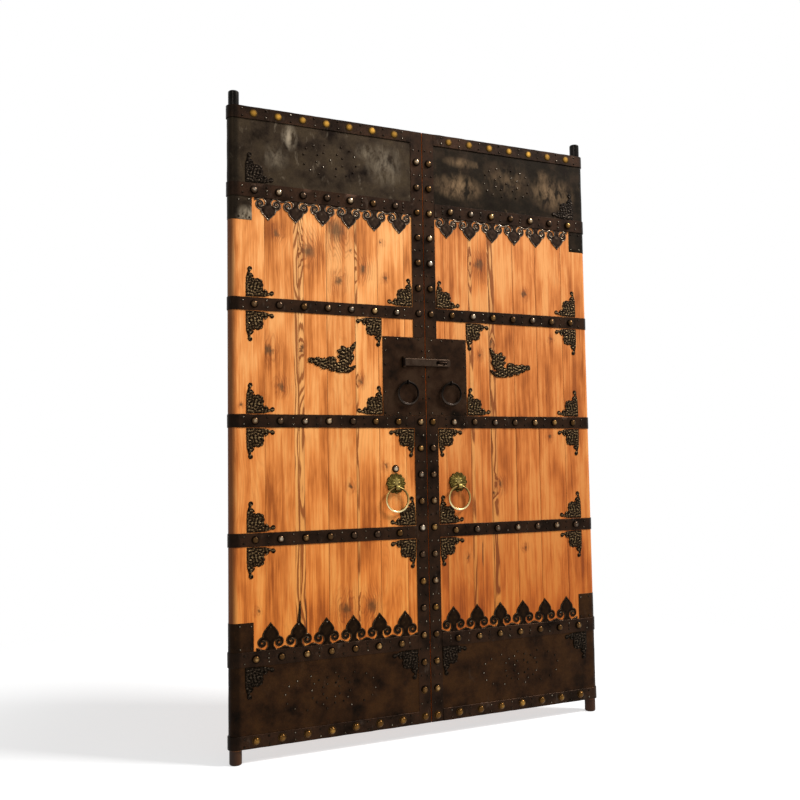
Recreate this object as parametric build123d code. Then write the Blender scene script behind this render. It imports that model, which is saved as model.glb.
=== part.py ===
from build123d import *
import math
import os

# Pair of iron-clad plank gate leaves that turn on round pivots top and bottom.
# Millimetres.  X runs along the closed gate, the outer face looks to -Y, Z is up.
# Origin: left pivot axis at the shoulder of the lower pin (bottom edge of the leaf).

# ---- leaf and boards
leaf_h = 2300.0            # height of each leaf without its pins
leaf_w = 757.0             # pivot axis to the middle of the meeting gap
board_t = 48.0             # board thickness; the hinge edge is a half round of this size
meeting_gap = 4.0          # gap between the closed leaves
board_gap = 0.6            # dry joint between neighbouring boards
stile_w = 106.0            # pivot axis to the first joint
plank_w = [129.0, 112.0, 115.0, 95.0, 112.0]   # the five planks between the stiles

# ---- pivots
low_pin_r = 22.0
low_pin_len = 54.0
top_pin_r = 20.0           # outside of the iron sleeve
top_pin_len = 58.0
sleeve_t = 2.0
sleeve_fit = 0.2
pin_round = 6.0            # eased end of both pins
pin_flats = 16             # hammered flats of the sleeve's eased end and of its bore

# ---- sliding battens on the inner side
batten_foot = 14.0         # depth of the dovetail foot in the boards
batten_wide = 68.0         # foot width at its root
batten_neck = 58.0         # foot width at the board face
batten_rib = 22.0          # how far the batten stands off the boards
batten_fit = 0.3
batten_x0 = 78.0           # stopped end of the groove in the hinge stile

# ---- iron
strap_t = 3.0
sheet_t = 1.5
edge_fit = 0.5             # gap between neighbouring iron pieces in one plane
wrap_back = 66.0           # how far the iron reaches round onto the inner side
meeting_strap_w = 49.0
top_strap_h = 46.0
sheet_strap_h = 52.0
mid_strap_h = 48.0
upper_z = 1571.0           # middle of the highest of the three straps on the bare boards
strap_pitch = 424.0        # from one of these straps to the next one down
top_sheet_h = 336.0        # upper sheet without its fringe
low_sheet_z = 333.0        # upper edge of the lower sheet
tab_w = 60.0               # hinge-side tab of each sheet, from the pivot axis
top_tab_drop = 86.0
low_tab_rise = 101.0

# ---- cut fringe of the sheets
lobe_n = 6
lobe_tab_gap = 9.0         # from the tab to the row of lobes
lobe_gap = 10.0            # between neighbouring lobes
top_lobe_drop = 83.0
low_lobe_rise = 97.0
scroll_r = 19.0
scroll_eye = 8.0

# ---- studs
stud_r = 16.0
stud_h = 11.0
stud_n = 7
stud_x = 67.0              # first stud of each row from the pivot axis
stud_sides = 6
stud_taper = 36.0          # slope of the hammered flanks from upright, degrees
disc_r = 14.0
disc_t = 1.2
disc_drop = 24.0           # disc centres below the top edge
upper_stud_n = 7           # meeting strap, from the upper strap to the top disc
lower_stud_n = 12          # meeting strap, from the middle strap down
low_stud_z = 25.0          # studs of the bottom strap
lone_stud_rise = 57.0      # single stud above the left knocker
lone_stud_r = 14.0

# ---- lock plates
lock_w = 181.0             # each half
lock_h = 305.0
lock_round = 6.0

# ---- hasp, its hinge and its staple
hasp_rise = 207.0          # above the lower edge of the lock plates
hasp_h = 29.0
hasp_t = 5.0
hasp_len = 188.0           # hinge pin to the tip
hasp_back = 96.0           # hinge pin to the middle of the meeting gap
slot_w = 48.0
slot_h = 13.0
slot_x = 164.0             # hinge pin to the middle of the slot
knuckle_r = 6.0
knuckle_pin_r = 3.0
run_fit = 0.05             # running clearance on the pin
side_fit = 0.5
lug_h = 6.0
staple_rod = 6.0
staple_span = 38.0         # outside width
staple_out = 27.0          # how far it stands off the plate

# ---- iron pull rings on the lock plates
pull_r = 42.0              # mean radius
pull_rod = 8.0
pull_x_left = 81.0         # each eye from the middle of the meeting gap
pull_x_right = 108.0
pull_rise = 128.0          # eyes above the lower edge of the lock plates
eye_r = 7.0                # mean radius of the eye
eye_rod = 4.0
eye_w = 7.0
eye_root = 16.0            # side of the eye's square root plate

# ---- brass knockers
mask_back = 135.0          # from the middle of the meeting gap
mask_drop = 237.0          # below the middle strap
mask_r = 41.0
mask_t = 3.0
mask_n = 12                # tufts round the edge
brow_r = 27.0
brow_h = 10.0
snout_r = 11.0
snout_w = 17.0
snout_bore = 5.6
snout_drop = 15.0          # below the middle of the mask
knock_r = 45.5
knock_rod = 9.0
rod_sides = 6
ring_facets = 20

# ---- cut corner brackets and the winged ornaments
bracket_t = 1.5
bracket_w = 104.0
bracket_h = 108.0
bracket_body = 66.0
bracket_in = 36.0          # hinge-side brackets, from the pivot axis
bracket_gap = 2.0
wing_back = 382.0          # middle of the ornament from the middle of the meeting gap
wing_rise = 223.0          # above the middle strap
wing_l = 206.0
wing_t = 1.6

# ---- planes that follow from the sizes above
half = board_t / 2
face_y = -half
strap_y = face_y - strap_t
sheet_y = face_y - sheet_t
plate_y = strap_y
leaf_end = leaf_w - meeting_gap / 2
strap_end = leaf_end - meeting_strap_w - edge_fit
middle_z = upper_z - strap_pitch
lower_z = middle_z - strap_pitch
top_sheet_z = leaf_h - top_sheet_h
lock_low = middle_z + mid_strap_h / 2 + edge_fit
lock_top = lock_low + lock_h
hasp_z = lock_low + hasp_rise
pull_z = lock_low + pull_rise
mask_x, mask_z = leaf_w - mask_back, middle_z - mask_drop
wing_x, wing_z = leaf_w - wing_back, middle_z + wing_rise
disc_z = leaf_h - disc_drop
meeting_x = leaf_end - meeting_strap_w / 2
stud_pitch = (meeting_x - stud_x) / stud_n
lobe_pitch = (strap_end - tab_w - lobe_tab_gap) / lobe_n
lobe_x = tab_w + lobe_tab_gap + lobe_pitch / 2
lobe_w = lobe_pitch - lobe_gap
batten_zs = [top_sheet_z + sheet_strap_h / 2, upper_z, middle_z, lower_z, low_sheet_z - sheet_strap_h / 2]

os.makedirs("parts", exist_ok=True)


def flip(shape):
    """Left-hand piece to its right-hand twin about the meeting gap."""
    return mirror(shape, about=Plane.YZ.offset(leaf_w))


def box(x0, x1, y0, y1, z0, z1):
    return Pos((x0 + x1) / 2, (y0 + y1) / 2, (z0 + z1) / 2) * Box(x1 - x0, y1 - y0, z1 - z0)


def front(sketch, y_back, thick):
    """Sketch drawn in X and Z, made into a plate whose back lies at y_back."""
    return extrude(Plane(origin=(0, y_back, 0), x_dir=(1, 0, 0), z_dir=(0, -1, 0)) * sketch, amount=thick)


# ---- boards

def batten_profile(fit=0.0):
    """Dovetail foot and rib of one batten, drawn in Y and Z about its middle."""
    root, neck = batten_wide / 2 + fit, batten_neck / 2 + fit
    foot = half - batten_foot - fit
    return foot, root, neck


def board(x0, x1):
    """Plank with a dovetail groove for every batten, cut straight through its width."""
    foot, root, neck = batten_profile(batten_fit)
    pts = [(half, leaf_h), (-half, leaf_h), (-half, 0), (half, 0)]
    for z in sorted(batten_zs):
        pts += [(half, z - neck), (foot, z - root), (foot, z + root), (half, z + neck)]
    face = make_face(Polyline(pts, close=True))
    return extrude(Plane(origin=(x0, 0, 0), x_dir=(0, 1, 0), z_dir=(1, 0, 0)) * face, amount=x1 - x0)


def battens():
    """Five ribs slid in from the meeting edge; they hold the boards together."""
    foot, root, neck = batten_profile()
    ribs = []
    for z in batten_zs:
        pts = [(half + batten_rib, z - neck + 6), (half + batten_rib - 6, z - neck), (half, z - neck),
               (foot, z - root), (foot, z + root), (half, z + neck),
               (half + batten_rib - 6, z + neck), (half + batten_rib, z + neck - 6)]
        face = make_face(Polyline(pts, close=True))
        plane = Plane(origin=(batten_x0, 0, 0), x_dir=(0, 1, 0), z_dir=(1, 0, 0))
        ribs.append(extrude(plane * face, amount=leaf_end - 1.0 - batten_x0))
    return Compound(children=ribs)


def round_pin(r, length, z, up):
    """Turned pin with an eased end, starting at z and running away from the leaf."""
    ease = min(pin_round, 0.45 * r)
    way = 1 if up else -1
    tip = z + way * length
    pts = [(0, z), (r, z), (r, tip - way * ease), (r - ease, tip), (0, tip)]
    return revolve(Plane.XZ * make_face(Polyline(pts, close=True)), Axis.Z)


def hinge_stile():
    """Half-round hinge edge with both pivots turned on the same axis."""
    sk = Circle(half) + Pos(stile_w / 2, 0) * Rectangle(stile_w, board_t)
    body = extrude(sk, amount=leaf_h)
    foot, root, neck = batten_profile(batten_fit)
    for z in batten_zs:
        pts = [(half + 1, z - neck), (half, z - neck), (foot, z - root), (foot, z + root),
               (half, z + neck), (half + 1, z + neck)]
        cut = make_face(Polyline(pts, close=True))
        plane = Plane(origin=(batten_x0 - batten_fit, 0, 0), x_dir=(0, 1, 0), z_dir=(1, 0, 0))
        body -= extrude(plane * cut, amount=stile_w)
    core_r = top_pin_r - sleeve_t - sleeve_fit
    core_len = top_pin_len - pin_round - sleeve_fit
    core = Pos(0, 0, leaf_h + core_len / 2) * Cylinder(core_r, core_len)
    return body + round_pin(low_pin_r, low_pin_len, 0, False) + core


def pin_sleeve():
    """Iron cup over the wooden core of the upper pivot, with a thick eased crown."""
    straight = top_pin_len - pin_round
    bore_r = (top_pin_r - sleeve_t) / math.cos(math.pi / pin_flats)
    wall = Circle(top_pin_r) - RegularPolygon(bore_r, pin_flats)
    crown = extrude(RegularPolygon(top_pin_r, pin_flats), amount=pin_round, taper=45)
    return Pos(0, 0, leaf_h) * (extrude(wall, amount=straight) + Pos(0, 0, straight) * crown)


# ---- iron on the boards

def wrap_section(x_front, x_back, r_in, thick):
    """Strip bent round the half-round hinge edge, seen from above."""
    r_out = r_in + thick
    ring = (Circle(r_out) - Circle(r_in)) & (Pos(-r_out, 0) * Rectangle(2 * r_out, 3 * r_out))
    face = Pos(x_front / 2, -r_in - thick / 2) * Rectangle(x_front, thick)
    back = Pos(x_back / 2, r_in + thick / 2) * Rectangle(x_back, thick)
    return ring + face + back


def strap(z_mid, height, r_in=half):
    section = wrap_section(strap_end, wrap_back, r_in, strap_t)
    return Pos(0, 0, z_mid - height / 2) * extrude(section, amount=height)


def lobe(rise):
    """Cloud-head lobe: two curled scrolls under a pointed leaf, standing on Z = 0."""
    side = lobe_w / 2 - scroll_r * 0.9
    tip = make_face(Polyline([(0, rise), (-lobe_w * 0.17, rise * 0.74), (-lobe_w * 0.42, rise * 0.5),
                              (-lobe_w * 0.12, 0), (lobe_w * 0.12, 0), (lobe_w * 0.42, rise * 0.5),
                              (lobe_w * 0.17, rise * 0.74)], close=True))
    curls = Locations((-side, scroll_r * 0.97), (side, scroll_r * 0.97))
    eyes = Locations((-side + 2, scroll_r * 0.97), (side - 2, scroll_r * 0.97))
    shape = tip + curls * RegularPolygon(scroll_r, 6)
    shape += Pos(0, 2) * Rectangle(lobe_w * 0.98, 5)
    return shape - eyes * RegularPolygon(scroll_eye, 4)


def fringe(z_edge, rise, direction):
    """Row of lobes along the free edge of a sheet."""
    row = Sketch()
    one = lobe(rise)
    if direction < 0:
        one = mirror(one, about=Plane.XZ)
    for k in range(lobe_n):
        row += Pos(lobe_x + k * lobe_pitch, z_edge) * one
    return front(row, face_y, sheet_t)


def sheet(z0, z1, z_edge, tab, rise, direction):
    """Iron sheet over one end of the leaf with its tab and cut fringe."""
    body = Pos(0, 0, z0) * extrude(wrap_section(strap_end, wrap_back, half, sheet_t), amount=z1 - z0)
    tab_section = wrap_section(tab_w, wrap_back, half, sheet_t)
    low = z_edge - tab if direction < 0 else z_edge
    body += Pos(0, 0, low) * extrude(tab_section, amount=tab)
    return body + fringe(z_edge, rise, direction)


def meeting_strap():
    """Upright strap on the meeting edge, broken by the lock plate."""
    x0 = leaf_end - meeting_strap_w
    upper = box(x0, leaf_end, strap_y, face_y, lock_top + edge_fit, leaf_h)
    lower = box(x0, leaf_end, strap_y, face_y, 0, lock_low - edge_fit)
    return Compound(children=[upper, lower])


def stud(r, h):
    """Domed nail head, faceted as if hammered."""
    return extrude(RegularPolygon(r, stud_sides, rotation=22.5), amount=h, taper=stud_taper)


def on_face(shape, x, y, z):
    """Piece drawn standing on XY, turned to stand off the outer face."""
    return Pos(x, y, z) * Rot(90, 0, 0) * shape


def stud_places():
    """X, Z and the plane under each stud of the left leaf."""
    rows = [(top_sheet_z + sheet_strap_h / 2, sheet_y - strap_t), (upper_z, strap_y), (middle_z, strap_y),
            (lower_z, strap_y), (low_sheet_z - sheet_strap_h / 2, sheet_y - strap_t),
            (low_stud_z, sheet_y - strap_t)]
    places = [(stud_x + k * stud_pitch, y, z) for z, y in rows for k in range(stud_n)]
    up, down = (disc_z - upper_z) / upper_stud_n, (middle_z - low_stud_z) / (lower_stud_n - 1)
    places += [(meeting_x, strap_y, upper_z + k * up) for k in range(upper_stud_n)]
    places += [(meeting_x, strap_y, low_stud_z + k * down) for k in range(lower_stud_n)]
    return places


def studs():
    head = stud(stud_r, stud_h)
    return Compound(children=[on_face(head, x, y, z) for x, y, z in stud_places()])


def discs():
    """Flat worn brass discs along the top strap."""
    flat = extrude(RegularPolygon(disc_r, 9), amount=disc_t)
    spots = [(stud_x + k * stud_pitch, sheet_y - strap_t) for k in range(stud_n)]
    spots.append((meeting_x, strap_y))
    return [on_face(flat, x, y, disc_z) for x, y in spots]


# ---- lock plates, hasp and rings

def lock_plate():
    x0 = leaf_end - lock_w
    plate = box(x0, leaf_end, plate_y, face_y, lock_low, lock_top)
    corners = plate.edges().filter_by(Axis.Y).group_by(Axis.X)[0]
    return chamfer(corners, lock_round)


hasp_x = leaf_w - hasp_back                     # hinge pin of the hasp
knuckle_y = plate_y - side_fit - knuckle_r     # pin axis, in the middle of the bar
bar_back = knuckle_y + hasp_t / 2              # inner face of the bar


def hasp():
    """Flat bar with a rolled knuckle at one end and a slot at the other."""
    profile = Pos(hasp_len / 2, 0) * Rectangle(hasp_len, hasp_h)
    end = Pos(hasp_len, 0) * RegularPolygon(hasp_h / 2, 12)
    profile = profile + end - Pos(slot_x, 0) * Rectangle(slot_w, slot_h)
    bar = Pos(hasp_x, 0, hasp_z) * front(profile, bar_back, hasp_t)
    knuckle = Pos(hasp_x, knuckle_y, hasp_z) * Cylinder(knuckle_r, hasp_h)
    bore = Pos(hasp_x, knuckle_y, hasp_z) * Cylinder(knuckle_pin_r + run_fit, hasp_h + 2)
    return bar + knuckle - bore


def hasp_hinge():
    """Two lugs on a root plate, with the upright pin between them."""
    half_h = hasp_h / 2 + side_fit
    pin = Pos(hasp_x, knuckle_y, hasp_z) * Cylinder(knuckle_pin_r, 2 * half_h + 2 * lug_h)
    lugs = []
    for s in (-1, 1):
        z = hasp_z + s * (half_h + lug_h / 2)
        lug = Pos(hasp_x, knuckle_y, z - lug_h / 2) * extrude(RegularPolygon(knuckle_r, 12), amount=lug_h)
        lug += box(hasp_x - knuckle_r, hasp_x + knuckle_r, knuckle_y, plate_y, z - lug_h / 2, z + lug_h / 2)
        lugs.append(lug)
    return pin + lugs[0] + lugs[1]


def staple():
    """Square-bent loop that stands through the slot of the hasp."""
    x = hasp_x + slot_x
    w, r = staple_span / 2, staple_rod / 2
    out = plate_y - staple_out
    outer = box(x - w, x + w, out, plate_y, hasp_z - r, hasp_z + r)
    inner = box(x - w + staple_rod, x + w - staple_rod, out + staple_rod, plate_y + 1, hasp_z - r, hasp_z + r)
    loop = outer - inner
    corners = loop.edges().filter_by(Axis.Z).group_by(Axis.Y)[0]
    return chamfer(corners, staple_rod * 0.5)


def ring(mean_r, rod, sides):
    """Forged ring in the XZ plane about the origin, hammered in short straight lengths."""
    step = 2 * math.pi / ring_facets
    corner_r = mean_r / math.cos(step / 2)
    path = [(0, 0, mean_r)]
    path += [(corner_r * math.sin(step * (k + 0.5)), 0, corner_r * math.cos(step * (k + 0.5)))
             for k in range(ring_facets)]
    section = Plane(origin=(0, 0, mean_r), x_dir=(0, 1, 0), z_dir=(1, 0, 0)) * RegularPolygon(rod / 2, sides)
    return sweep(section, path=Polyline(path, close=True), transition=Transition.RIGHT)


eye_y = plate_y - eye_r - eye_rod / 2 - 1.0     # axis of the pull ring's swing


def pull_eye(x):
    """Staple eye across the ring, on a small root plate."""
    outline = RegularPolygon(eye_r + eye_rod / 2, 12) - RegularPolygon(eye_r - eye_rod / 2, 12)
    eye = Pos(x - eye_w / 2, eye_y, pull_z) * Rot(0, 90, 0) * extrude(outline, amount=eye_w)
    root = box(x - eye_w / 2, x + eye_w / 2, eye_y + eye_r - eye_rod * 0.4, plate_y - 1.0,
               pull_z - eye_rod, pull_z + eye_rod)
    base = box(x - eye_root / 2, x + eye_root / 2, plate_y - 1.0, plate_y, pull_z - eye_root / 2,
               pull_z + eye_root / 2)
    return eye + root + base


def pull_ring(x):
    return Pos(x, eye_y, pull_z - pull_r) * ring(pull_r, pull_rod, rod_sides)


# ---- knockers

snout_y = face_y - mask_t - snout_r - 0.5
snout_z = mask_z - snout_drop


def knocker_mask():
    """Beast-head plate: tufted rim, domed brow, cheeks and a bored snout for the ring."""
    outline = RegularPolygon(mask_r * 0.86, mask_n)
    for k in range(mask_n):
        a = 2 * math.pi * k / mask_n
        tuft = make_face(Polyline([(mask_r * 0.7, -8), (mask_r, -3), (mask_r, 5), (mask_r * 0.7, 8)],
                                  close=True))
        outline += Rot(0, 0, math.degrees(a)) * tuft
    plate = extrude(outline, amount=mask_t)
    brow = Pos(0, 7, mask_t) * extrude(RegularPolygon(brow_r, 8), amount=brow_h, taper=38)
    cheeks = []
    for s in (-1, 1):
        cheek = extrude(RegularPolygon(10, 6), amount=brow_h, taper=30)
        cheeks.append(Pos(s * 15, -9, mask_t) * cheek)
    head = plate + brow + cheeks[0] + cheeks[1]
    snout = Pos(-snout_w / 2, 0, 0) * Rot(0, 90, 0) * extrude(RegularPolygon(snout_r, 12), amount=snout_w)
    neck = Pos(0, 0, -snout_r / 2 - 0.25) * Box(snout_w, 2 * snout_r * 0.8, snout_r + 0.5)
    head += Pos(0, -snout_drop, mask_t + snout_r + 0.5) * (snout + neck)
    room = Pos(0, -snout_drop, mask_t + snout_r + 0.5) * Rot(0, 90, 0) * Cylinder(snout_bore, 3 * snout_w)
    return on_face(head - room, mask_x, face_y, mask_z)


def knocker_ring():
    return Pos(mask_x, snout_y, snout_z - knock_r) * ring(knock_r, knock_rod, rod_sides)


# ---- corner brackets and winged ornaments

def bracket():
    """Lacy corner piece: pierced square body with a curled arm along each side."""
    b, w, h = bracket_body, bracket_w, bracket_h
    shape = make_face(Polyline([(0, 0), (w * 0.9, 0), (w, w * 0.11), (w * 0.8, w * 0.15), (b, b * 0.42),
                                (b * 0.82, b * 0.72), (b * 0.5, b * 0.92), (b * 0.2, b), (h * 0.14, h * 0.84),
                                (h * 0.12, h), (0, h * 0.94)], close=True))
    hole = Pos(b * 0.36, b * 0.38) * RegularPolygon(b * 0.17, 4, rotation=45)
    return shape - hole


def bracket_set():
    """Twelve brackets: four round each of the three bare panels of a leaf."""
    one = bracket()
    low_h = mid_strap_h / 2 + bracket_gap
    lock_x = leaf_end - lock_w - bracket_gap
    side_x = leaf_end - meeting_strap_w - bracket_gap
    plates = []
    for z, way in ((upper_z, 1), (upper_z, -1), (middle_z, 1), (middle_z, -1), (lower_z, 1), (lower_z, -1)):
        piece = one if way > 0 else mirror(one, about=Plane.XZ)
        near_lock = (z, way) in ((upper_z, -1), (middle_z, 1))
        far = lock_x if near_lock else side_x
        plates.append(front(Pos(bracket_in, z + way * low_h) * piece, face_y, bracket_t))
        plates.append(front(Pos(far, z + way * low_h) * mirror(piece, about=Plane.YZ), face_y, bracket_t))
    return Compound(children=plates)


def winged_ornament():
    """Long-tailed winged piece: feathered tail, body and a raised wing."""
    u = wing_l / 20
    body = make_face(Polyline([(-10 * u, 0.2 * u), (-8.6 * u, 1.3 * u), (-6.2 * u, 1.0 * u), (-4.6 * u, 1.9 * u),
                               (-2.2 * u, 1.4 * u), (-0.4 * u, 2.6 * u), (1.6 * u, 2.4 * u), (3.2 * u, 1.2 * u),
                               (3.6 * u, 3.6 * u), (3.1 * u, 5.4 * u), (4.6 * u, 6.6 * u), (6.6 * u, 7.4 * u),
                               (7.4 * u, 5.6 * u), (9.6 * u, 7.6 * u), (8.4 * u, 4.4 * u), (6.8 * u, 1.6 * u),
                               (7.6 * u, -0.2 * u), (9.8 * u, -1.2 * u), (7.4 * u, -2.4 * u), (4.4 * u, -2.8 * u),
                               (2.2 * u, -1.6 * u), (-1.0 * u, -1.9 * u), (-3.4 * u, -0.9 * u), (-6.0 * u, -1.1 * u),
                               (-8.2 * u, -0.3 * u)], close=True))
    holes = Locations((-3.2 * u, 0.4 * u), (0.4 * u, 0.4 * u), (5.2 * u, 4.6 * u), (5.0 * u, -0.6 * u))
    shape = body - holes * RegularPolygon(0.62 * u, 5)
    return front(Pos(wing_x, wing_z) * shape, face_y, wing_t)


# ---- all pieces of one leaf

def leaf_pieces():
    pieces = {"hinge_stile": hinge_stile(), "pin_sleeve": pin_sleeve()}
    x = stile_w
    for k, w in enumerate(plank_w, 1):
        pieces[f"plank_{k}"] = board(x + board_gap, x + w)
        x += w
    pieces["meeting_stile"] = board(x + board_gap, leaf_end)
    pieces["back_battens"] = battens()
    top_low = top_sheet_z
    pieces["top_sheet"] = sheet(top_low, leaf_h, top_sheet_z, top_tab_drop, top_lobe_drop, -1)
    pieces["bottom_sheet"] = sheet(0, low_sheet_z, low_sheet_z, low_tab_rise, low_lobe_rise, 1)
    over = half + sheet_t
    pieces["top_edge_strap"] = strap(leaf_h - top_strap_h / 2, top_strap_h, over)
    pieces["top_sheet_strap"] = strap(top_sheet_z + sheet_strap_h / 2, sheet_strap_h, over)
    pieces["upper_strap"] = strap(upper_z, mid_strap_h)
    pieces["middle_strap"] = strap(middle_z, mid_strap_h)
    pieces["lower_strap"] = strap(lower_z, mid_strap_h)
    pieces["bottom_sheet_strap"] = strap(low_sheet_z - sheet_strap_h / 2, sheet_strap_h, over)
    pieces["bottom_edge_strap"] = strap(top_strap_h / 2, top_strap_h, over)
    pieces["meeting_strap"] = meeting_strap()
    pieces["lock_plate"] = lock_plate()
    pieces["iron_studs"] = studs()
    pieces["corner_brackets"] = bracket_set()
    pieces["winged_ornament"] = winged_ornament()
    pieces["knocker_mask"] = knocker_mask()
    pieces["knocker_ring"] = knocker_ring()
    return pieces


def lone_stud():
    return on_face(stud(lone_stud_r, stud_h * 0.8), mask_x, face_y, mask_z + lone_stud_rise)


if __name__ == "__main__":
    left = leaf_pieces()
    flats = discs()
    for name, piece in left.items():
        export_step(piece, f"parts/left_{name}.step")
        export_step(flip(piece), f"parts/right_{name}.step")
    export_step(Compound(children=flats + [lone_stud()]), "parts/left_brass_discs.step")
    export_step(Compound(children=[flip(d) for d in discs()]), "parts/right_brass_discs.step")
    for side, x in (("left", leaf_w - pull_x_left), ("right", leaf_w + pull_x_right)):
        export_step(pull_eye(x), f"parts/{side}_pull_eye.step")
        export_step(pull_ring(x), f"parts/{side}_pull_ring.step")
    export_step(hasp(), "parts/hasp.step")
    export_step(hasp_hinge(), "parts/hasp_hinge.step")
    export_step(staple(), "parts/hasp_staple.step")
    print("pieces", len(os.listdir("parts")))
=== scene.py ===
import bpy
import math
import numpy as np
from mathutils import Matrix, Vector


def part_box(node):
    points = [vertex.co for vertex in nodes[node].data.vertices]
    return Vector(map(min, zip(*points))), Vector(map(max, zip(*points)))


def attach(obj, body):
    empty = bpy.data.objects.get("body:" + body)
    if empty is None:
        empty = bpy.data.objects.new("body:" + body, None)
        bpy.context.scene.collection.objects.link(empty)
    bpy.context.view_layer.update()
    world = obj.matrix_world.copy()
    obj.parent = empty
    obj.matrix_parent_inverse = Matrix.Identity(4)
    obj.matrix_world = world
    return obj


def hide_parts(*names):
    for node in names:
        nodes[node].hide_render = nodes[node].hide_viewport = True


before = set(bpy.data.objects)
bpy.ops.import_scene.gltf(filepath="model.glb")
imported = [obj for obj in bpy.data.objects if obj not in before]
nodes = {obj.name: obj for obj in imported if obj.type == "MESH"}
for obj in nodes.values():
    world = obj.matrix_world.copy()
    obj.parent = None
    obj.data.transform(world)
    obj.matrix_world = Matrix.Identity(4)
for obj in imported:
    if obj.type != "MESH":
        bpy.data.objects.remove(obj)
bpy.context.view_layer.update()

# Pair of iron-clad plank gate leaves. Numbers are millimetres unless a name says otherwise;
# X runs along the closed gate, the outer face looks to -Y, Z is up, the left pivot axis is at X 0.

bodyOf = {"left": "left_leaf", "right": "right_leaf"}


# lowest and highest corner of a CAD node in millimetres
def nodeBox(name):
    low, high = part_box(name)
    return np.array(low) * 1000.0, np.array(high) * 1000.0


# sizes that every piece leans on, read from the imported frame
meetingLow, meetingHigh = nodeBox("left_meeting_stile")
rightLow = nodeBox("right_meeting_stile")[0]
leafEnd = float(meetingHigh[0])
seamX = float(meetingHigh[0] + rightLow[0]) / 2
leafTop = float(meetingHigh[2])
faceY = float(meetingLow[1])
halfBoard = -faceY
sheetY = float(nodeBox("left_top_sheet")[0][1])
strapY = float(nodeBox("left_upper_strap")[0][1])
strapThick = faceY - strapY
sheetThick = faceY - sheetY
strapEnd = float(nodeBox("left_upper_strap")[1][0])
wrapBack = 66.0                              # how far the iron reaches round onto the inner side
print("frame read", round(leafEnd, 1), round(seamX, 1), round(leafTop, 1), round(sheetY, 2), round(strapY, 2))


# a shell is a dictionary with points, face arrays and per-point values
def shellOf(points, faces, **values):
    return {"points": np.asarray(points, float).reshape(-1, 3),
            "faces": [np.asarray(f, np.int64) for f in faces if len(f)],
            "values": {k: np.asarray(v, float).ravel() for k, v in values.items()}}


# several shells as one, with their point numbers moved on
def joinShells(shells):
    points, faces, start = [], [], 0
    names = sorted({k for s in shells for k in s["values"]})
    values = {k: [] for k in names}
    for s in shells:
        points.append(s["points"])
        faces += [f + start for f in s["faces"]]
        for k in names:
            values[k].append(s["values"].get(k, np.zeros(len(s["points"]))))
        start += len(s["points"])
    bySize = {}
    for f in faces:
        bySize.setdefault(f.shape[1], []).append(f)
    return {"points": np.concatenate(points), "faces": [np.concatenate(f) for f in bySize.values()],
            "values": {k: np.concatenate(v) for k, v in values.items()}}


# the right-hand twin: X goes to twice the seam less X, and the faces turn round
def mirrorShell(shell):
    points = shell["points"].copy()
    points[:, 0] = 2 * seamX - points[:, 0]
    return {"points": points, "faces": [f[:, ::-1] for f in shell["faces"]], "values": dict(shell["values"])}


# every piece is drawn for the left leaf; the right leaf gets its twin
def forSide(shell, side):
    return shell if side == "left" else mirrorShell(shell)


# a shell shifted along X, Y and Z
def moveShell(shell, x=0.0, y=0.0, z=0.0):
    return {**shell, "points": shell["points"] + np.array([x, y, z])}


# quads between neighbouring points of a grid, row by row; closed joins the last column to the first
def gridQuads(rows, columns, closed=False):
    r, c = np.meshgrid(np.arange(rows - 1), np.arange(columns if closed else columns - 1), indexing="ij")
    d = (c + 1) % columns
    return np.stack([r * columns + c, r * columns + d, (r + 1) * columns + d, (r + 1) * columns + c],
                    -1).reshape(-1, 4)


# quads of a grid closed both ways, as on a ring
def ringQuads(rows, columns):
    i, j = np.meshgrid(np.arange(rows), np.arange(columns), indexing="ij")
    k, m = (i + 1) % rows, (j + 1) % columns
    return np.stack([i * columns + j, i * columns + m, k * columns + m, k * columns + j], -1).reshape(-1, 4)


# quads of a grid closed round its columns, with a flat face over the first row and over the last
def cappedFaces(rows, columns):
    ring = np.arange(columns)
    return [gridQuads(rows, columns, closed=True), ring[::-1][None], (ring + (rows - 1) * columns)[None]]


# a Blender object at the origin from a shell in millimetres, riding on its body
def makePiece(name, shell, material, side=None, body=None, replaces=(), sharpDegrees=38):
    mesh = bpy.data.meshes.new(name)
    sizes = np.concatenate([np.full(len(f), f.shape[1]) for f in shell["faces"]])
    corners = np.concatenate([f.ravel() for f in shell["faces"]])
    mesh.vertices.add(len(shell["points"]))
    mesh.vertices.foreach_set("co", (shell["points"] * 0.001).astype(np.float32).ravel())
    mesh.loops.add(len(corners))
    mesh.loops.foreach_set("vertex_index", corners.astype(np.int32))
    mesh.polygons.add(len(sizes))
    mesh.polygons.foreach_set("loop_start", np.concatenate([[0], np.cumsum(sizes)[:-1]]).astype(np.int32))
    mesh.update(calc_edges=True)
    mesh.validate()
    mesh.polygons.foreach_set("use_smooth", np.ones(len(sizes), bool))
    mesh.set_sharp_from_angle(angle=math.radians(sharpDegrees))
    for key, value in shell["values"].items():
        mesh.attributes.new(key, "FLOAT", "POINT").data.foreach_set("value", value.astype(np.float32))
    piece = bpy.data.objects.new(name, mesh)
    bpy.context.scene.collection.objects.link(piece)
    mesh.materials.append(material)
    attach(piece, body or bodyOf[side])
    if replaces:
        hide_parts(*replaces)
    return piece


# sum of cosine ripples in random directions, about -1 to 1, with the given wavelength
def softNoise(x, z, seed, wave, count=9):
    rng = np.random.default_rng(seed)
    total = np.zeros(np.broadcast(x, z).shape)
    for angle, phase, stretch in zip(rng.uniform(0, 2 * np.pi, count), rng.uniform(0, 2 * np.pi, count),
                                     rng.uniform(0.6, 1.7, count)):
        k = 2 * np.pi / (wave * stretch)
        total = total + np.cos(k * (x * math.cos(angle) + z * math.sin(angle)) + phase)
    return total / (0.5 * count)


# swept and turned shells

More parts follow.
